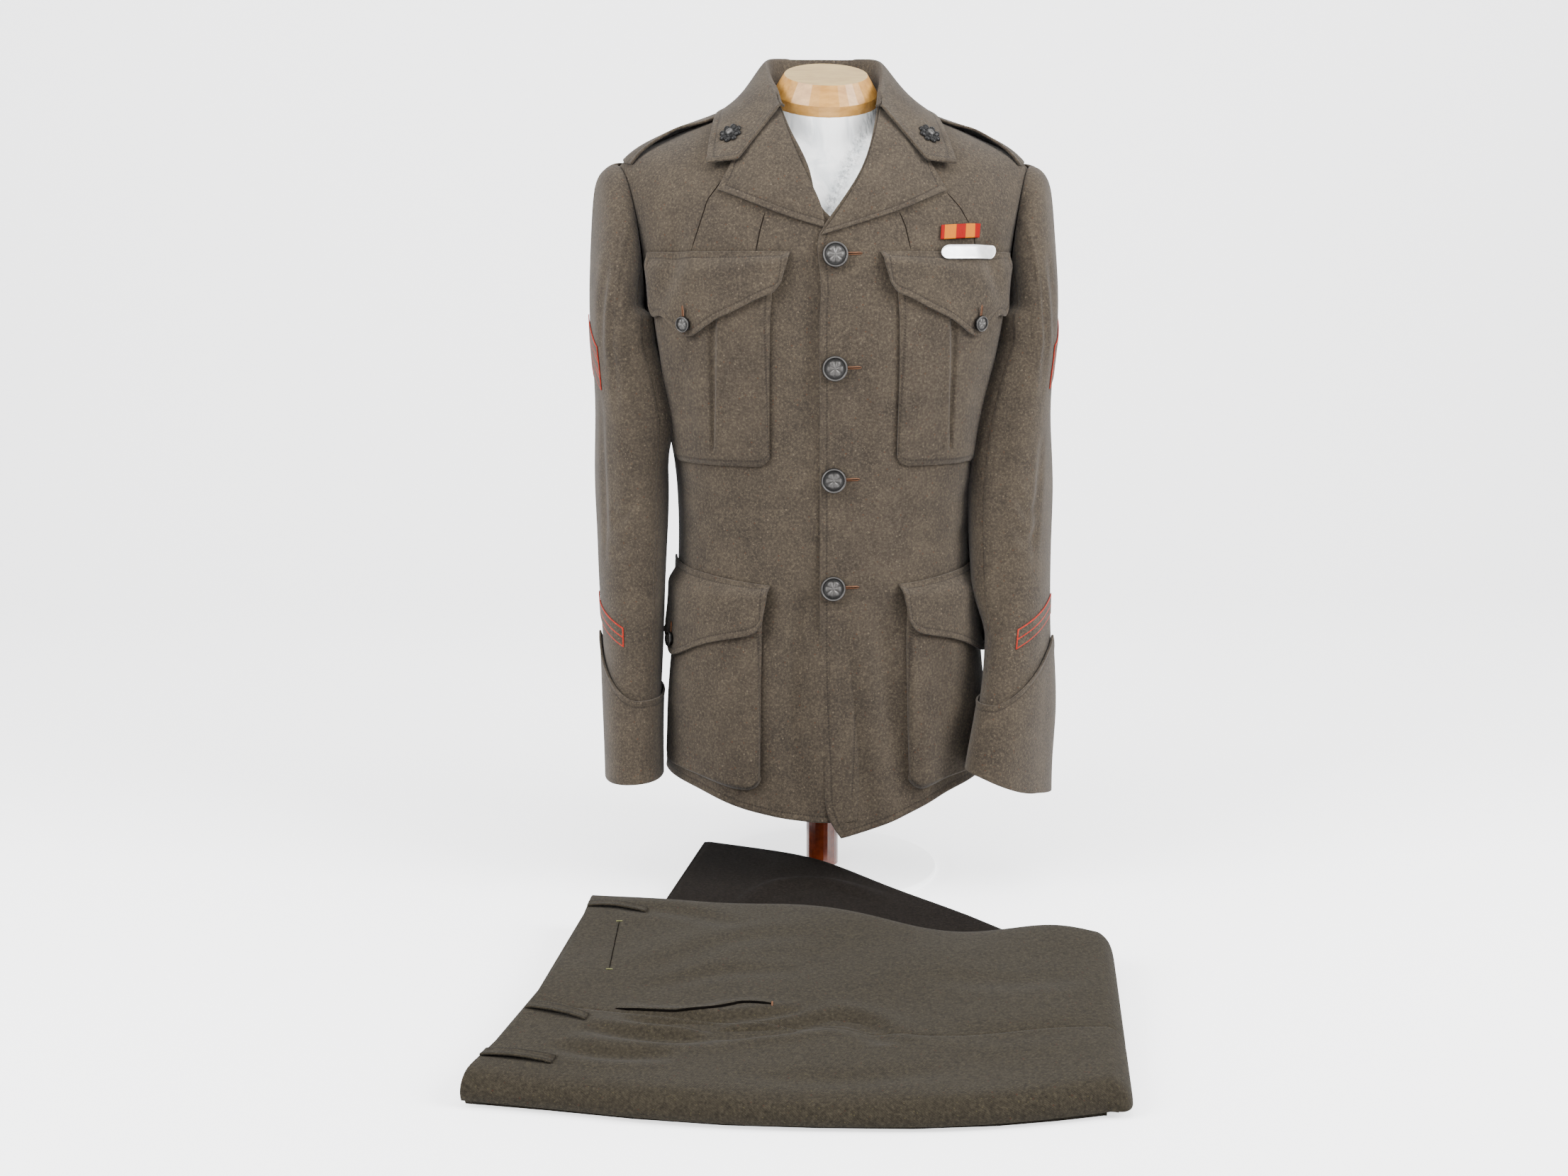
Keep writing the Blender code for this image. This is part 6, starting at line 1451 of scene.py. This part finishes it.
loopCut = {"at": ((0.10, 0.010), (0.675, 0.030), (0.905, 0.000)), "long": 0.125, "wide": 0.0115,
           "arch": 0.0026}
slitCut = {   # paths in plan, and how far thread and slit stand off the cloth
    "out": 0.0003,
    "hip": [(-0.2135, -0.2800), (-0.2165, -0.3300), (-0.2193, -0.3868)],
    "side": [(-0.2113, -0.4642), (-0.1750, -0.4740), (-0.1400, -0.4770), (-0.1120, -0.4660),
             (-0.0950, -0.4640), (-0.0783, -0.4690)],
}


def makeTrouserDetails():
    # belt loops arch off the waist by half a sine wave; slits and tacks are strips on the cloth
    for i, (across, lean) in enumerate(loopCut["at"]):
        along = np.linspace(0, 1, 60)[:, None]
        wide = np.linspace(-0.5, 0.5, 16)[None, :] * loopCut["wide"] / stackCut["across"]
        place = across + lean * along + wide
        u = 0.002 + along * loopCut["long"] + 0 * place
        plan = stackPlan(u, place)
        arch = loopCut["arch"] * np.sin(math.pi * np.clip(along, 0, 1)) ** 0.7
        height = onStack(plan.reshape(-1, 2), 0.0004)[:, 2].reshape(u.shape)
        points = np.concatenate([plan, (height + arch)[..., None]], -1)
        clothWall("belt_loop_cloth_" + str(i + 1), points, cloth["trousers"], trouserEdge,
                  np.array([-0.05, -0.42, -0.5]),
                  "belt_loop_" + str(i + 1), stitched="cd", welt=0.0002)
    stackLine("hip_pocket_slit", slitCut["hip"], 0.0006, 0.0005, holeDark)
    stackLine("hip_pocket_tack_far", [(-0.2165, -0.2798), (-0.2105, -0.2802)], 0.0012, 0.0010, greenThread)
    stackLine("hip_pocket_tack_near", [(-0.2223, -0.3866), (-0.2163, -0.3870)], 0.0012, 0.0010, greenThread)
    stackLine("side_pocket_slit", slitCut["side"], 0.0038, 0.0012, holeDark)
    stackLine("side_pocket_tack", [(-0.0785, -0.4722), (-0.0781, -0.4642)], 0.0016, 0.0012, rustThread)


makeTrouserDetails()
print("trousers made")


# The lower leg that shows: the upper ply over the legs' solid

legCut = {
    "s":     (0.0, 0.2, 0.4, 0.6, 0.8, 1.0),
    "farX":  (-0.1274, -0.0640, -0.0010, 0.0620, 0.1300, 0.1780),
    "farY":  (0.0488, 0.0170, -0.0285, -0.1160, -0.2060, -0.2860),
    "nearX": (-0.1840, -0.1240, -0.0560, 0.0180, 0.0900, 0.1500),
    "nearY": (-0.2060, -0.2190, -0.2300, -0.2640, -0.3040, -0.3180),
    "lay": 0.0004, "edge": 0.010, "roll": 0.0060, "over": 0.0018, "long": 0.38, "hemWay": (-0.80, 0.60),
    "in": (0.004, 0.988), "grid": (84, 64),
}
legCreases = [
    fold(0.012, -0.0042, (-0.105, -0.215), (-0.075, -0.130), (-0.010, -0.105), (0.050, -0.165)),
    fold(0.014, 0.0034, (-0.085, -0.220), (-0.050, -0.160), (0.000, -0.150), (0.040, -0.200)),
    fold(0.016, 0.0012, (-0.120, 0.020), (-0.080, -0.080), (-0.120, -0.180)),
]


def makeLeg():
    # the ply lies on its solid's flat top, rolls over the far
    # edge and the hem by a quarter round, and keeps its folds
    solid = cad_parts["trousers_lower_legs"]
    top = max((solid.matrix_world @ v.co).z for v in solid.data.vertices)
    along, across = np.meshgrid(*(spread(count, 0.6) for count in legCut["grid"]), indexing="ij")
    far = np.stack([cubic(legCut["s"], legCut[key], along) for key in ("farX", "farY")], -1)
    near = np.stack([cubic(legCut["s"], legCut[key], along) for key in ("nearX", "nearY")], -1)
    plan = far + (near - far) * (legCut["in"][0] + legCut["in"][1] * across[..., None])
    wide, tall = np.linalg.norm(near - far, axis=-1), legCut["long"]
    edge = np.minimum(across * wide, along * tall)
    beside, below = [legCut["over"] * (1 - ease(0, legCut["edge"], room))
                     for room in (across * wide, along * tall)]
    out = unit(far - near) * beside[..., None] + np.array(legCut["hemWay"]) * below[..., None]
    z = top + legCut["lay"] - legCut["roll"] * (1 - np.sqrt(ease(0, legCut["edge"], edge)))
    points = np.concatenate([plan + out, z[..., None]], -1)
    relief = np.maximum(creases(plan[..., 0], plan[..., 1], legCreases), -0.0002) * ease(0.004, 0.03, edge)
    relief = relief * ease(0.0, 0.02, (1 - across) * wide)
    clothWall("trouser_leg_cloth", points, cloth["trousers"], legShadeSerge, np.array([0, -0.15, -0.5]),
              relief=relief)


makeLeg()
print("lower leg made")


# CAD pieces that are shown as they are, and the finish of each

carried = {
    "form_torso": whiteJersey, "form_neck_cap": paleWood, "stand_post": redVarnish, "stand_base": glowingWhitePlate,
    "trousers_folded_layers": trouserSerge, "trousers_lower_legs": legShadeSerge,
}
for nodeName, finish in carried.items():
    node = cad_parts[nodeName]
    node.data.materials.clear()
    node.data.materials.append(finish)
print("carried pieces finished")


# Jersey drawn up to the cap

neckCut = {"lean": 20.0, "foot": 0.680, "rise": 0.110, "side": (40, 78), "front": (50, 66), "middleY": -0.004,
           "slack": 0.012, "in": 0.0012, "wall": 0.0008, "off": 0.0008, "rows": 32}


def makeJersey():
    # rays towards the form's axis find its surface; the jersey runs from just inside the cap's rim down to it
    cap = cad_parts["form_neck_cap"]
    corners = np.array([cap.matrix_world @ v.co for v in cap.data.vertices])
    lean = math.radians(neckCut["lean"])
    axis = np.array([0, -math.sin(lean), math.cos(lean)])
    low = corners[corners @ axis < (corners @ axis).min() + 0.0002]
    middle = (low.max(axis=0) + low.min(axis=0)) / 2
    radius = np.max(np.linalg.norm(low - middle, axis=1)) - neckCut["in"]
    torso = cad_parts["form_torso"]
    tree = BVHTree.FromPolygons([torso.matrix_world @ v.co for v in torso.data.vertices],
                                [list(f.vertices) for f in torso.data.polygons])
    turn = np.radians(np.linspace(-179.6, 179.6, 120))
    forward = np.cross(axis, np.array([1.0, 0, 0]))
    top = middle + radius * (np.sin(turn)[:, None] * np.array([1.0, 0, 0]) - np.cos(turn)[:, None] * forward)
    centre = Vector((0, neckCut["middleY"], 0))
    fromFront = np.abs(np.degrees(turn))
    side = np.stack([np.sin(turn), -np.cos(turn), 0 * turn], -1)
    aside = ease(*neckCut["side"], fromFront)
    footZ = neckCut["foot"] + neckCut["rise"] * aside
    share = np.linspace(0, 1, neckCut["rows"])[None, :]
    z = top[:, 2:] + (footZ[:, None] - top[:, 2:]) * share
    start = np.linalg.norm(top[:, :2] - np.array([0, neckCut["middleY"]]), axis=1)[:, None]
    far = start + 0 * share
    for i, row in enumerate(z):
        way = Vector(side[i])
        hits = [tree.ray_cast(centre + Vector((0, 0, h)) + way * 0.4, -way)[0] for h in row]
        far[i] = [(hit - centre - Vector((0, 0, h))).length if hit else 0.0 for hit, h in zip(hits, row)]
    free = start + neckCut["slack"] * share * (1 - aside[:, None])
    front = (1 - ease(*neckCut["front"], fromFront))[:, None]
    far = np.maximum(free, (far + neckCut["off"]) * front)
    far[:, 0] = start[:, 0]
    for _ in range(3):
        far[:, 1:-1] = (far[:, :-2] + far[:, 1:-1] + far[:, 2:]) / 3
    points = side[:, None] * far[..., None] + np.stack([0 * z, 0 * z + neckCut["middleY"], z], -1)
    clothWall("jersey_neck", points, neckCut["wall"], whiteJersey, np.array([0, neckCut["middleY"], 0.6]))


makeJersey()
print("jersey made")


# Floor, light and camera

stageCut = {"half": 6.0, "back": 1.6, "round": 1.2, "tall": 5.0, "paint": "F4F4F6", "glow": 1.48,
            "least": 0.12}


def makeStage():
    # floor and wall in one sweep, joined by a quarter round
    steps = np.linspace(0, math.pi / 2, 24)
    half, back, bend = stageCut["half"], stageCut["back"], stageCut["round"]
    profile = [(-half, 0.0), (back, 0.0)]
    profile += [(back + bend * math.sin(t), bend - bend * math.cos(t)) for t in steps[1:]]
    profile.append((back + bend, stageCut["tall"]))
    points = np.array([[(x, y, z) for y, z in profile] for x in (-half, half)])
    mesh = bpy.data.meshes.new("floor")
    mesh.from_pydata(points.reshape(-1, 3), [], quadGrid(2, len(profile)).tolist())
    mesh.shade_smooth()
    made, tree, shader = newMaterial("pale acrylic sweep, lit from behind", 0.9)
    shader.inputs["Base Color"].default_value = hexLinear(stageCut["paint"])
    shader.inputs["Emission Color"].default_value = hexLinear("FFFFFF")
    # the photo's floor is overexposed: it glows to the eye, and only a little on to the cloth
    seen = addNode(tree, "LightPath").outputs["Is Camera Ray"]
    glow = addNode(tree, "Math MULTIPLY_ADD", i0=seen, i1=stageCut["glow"], i2=stageCut["least"])
    tree.links.new(glow.outputs[0], shader.inputs["Emission Strength"])
    mesh.materials.append(made)
    floor = bpy.data.objects.new("floor", mesh)
    bpy.context.scene.collection.objects.link(floor)


def addLight(name, place, aim, size, power):
    # a square soft light at a place, turned to what it aims at
    data = bpy.data.lights.new(name, "AREA")
    data.shape = "SQUARE"
    data.size, data.energy = size, power
    lamp = bpy.data.objects.new(name, data)
    lamp.location = place
    lamp.rotation_mode = "QUATERNION"
    lamp.rotation_quaternion = (Vector(aim) - Vector(place)).to_track_quat("-Z", "Y")
    bpy.context.scene.collection.objects.link(lamp)


makeStage()
addLight("left softbox", (-2.3, -1.5, 1.9), (0, 0, 0.45), 1.6, 172)
addLight("right softbox", (2.3, -1.5, 1.9), (0, 0, 0.45), 1.6, 200)
addLight("top softbox", (0, -0.9, 3.0), (0, -0.2, 0.3), 2.6, 110)
world = bpy.data.worlds.new("studio")
bpy.context.scene.world = world
world.use_nodes = True
world.node_tree.nodes["Background"].inputs["Color"].default_value = (1, 1, 1, 1)
world.node_tree.nodes["Background"].inputs["Strength"].default_value = 0.28

viewPoint = {"place": (-0.1527, -1.9796, 0.661), "pitch": 10.0, "yaw": 3.2, "pixels": 2650.0, "frame": 2212.0}
lens = bpy.data.cameras.new("camera")
lens.sensor_width = 36.0
lens.lens = 36.0 * viewPoint["pixels"] / viewPoint["frame"]
camera = bpy.data.objects.new("camera", lens)
camera.location = viewPoint["place"]
camera.rotation_euler = (math.radians(90 - viewPoint["pitch"]), 0, math.radians(-viewPoint["yaw"]))
bpy.context.scene.collection.objects.link(camera)
bpy.context.scene.camera = camera
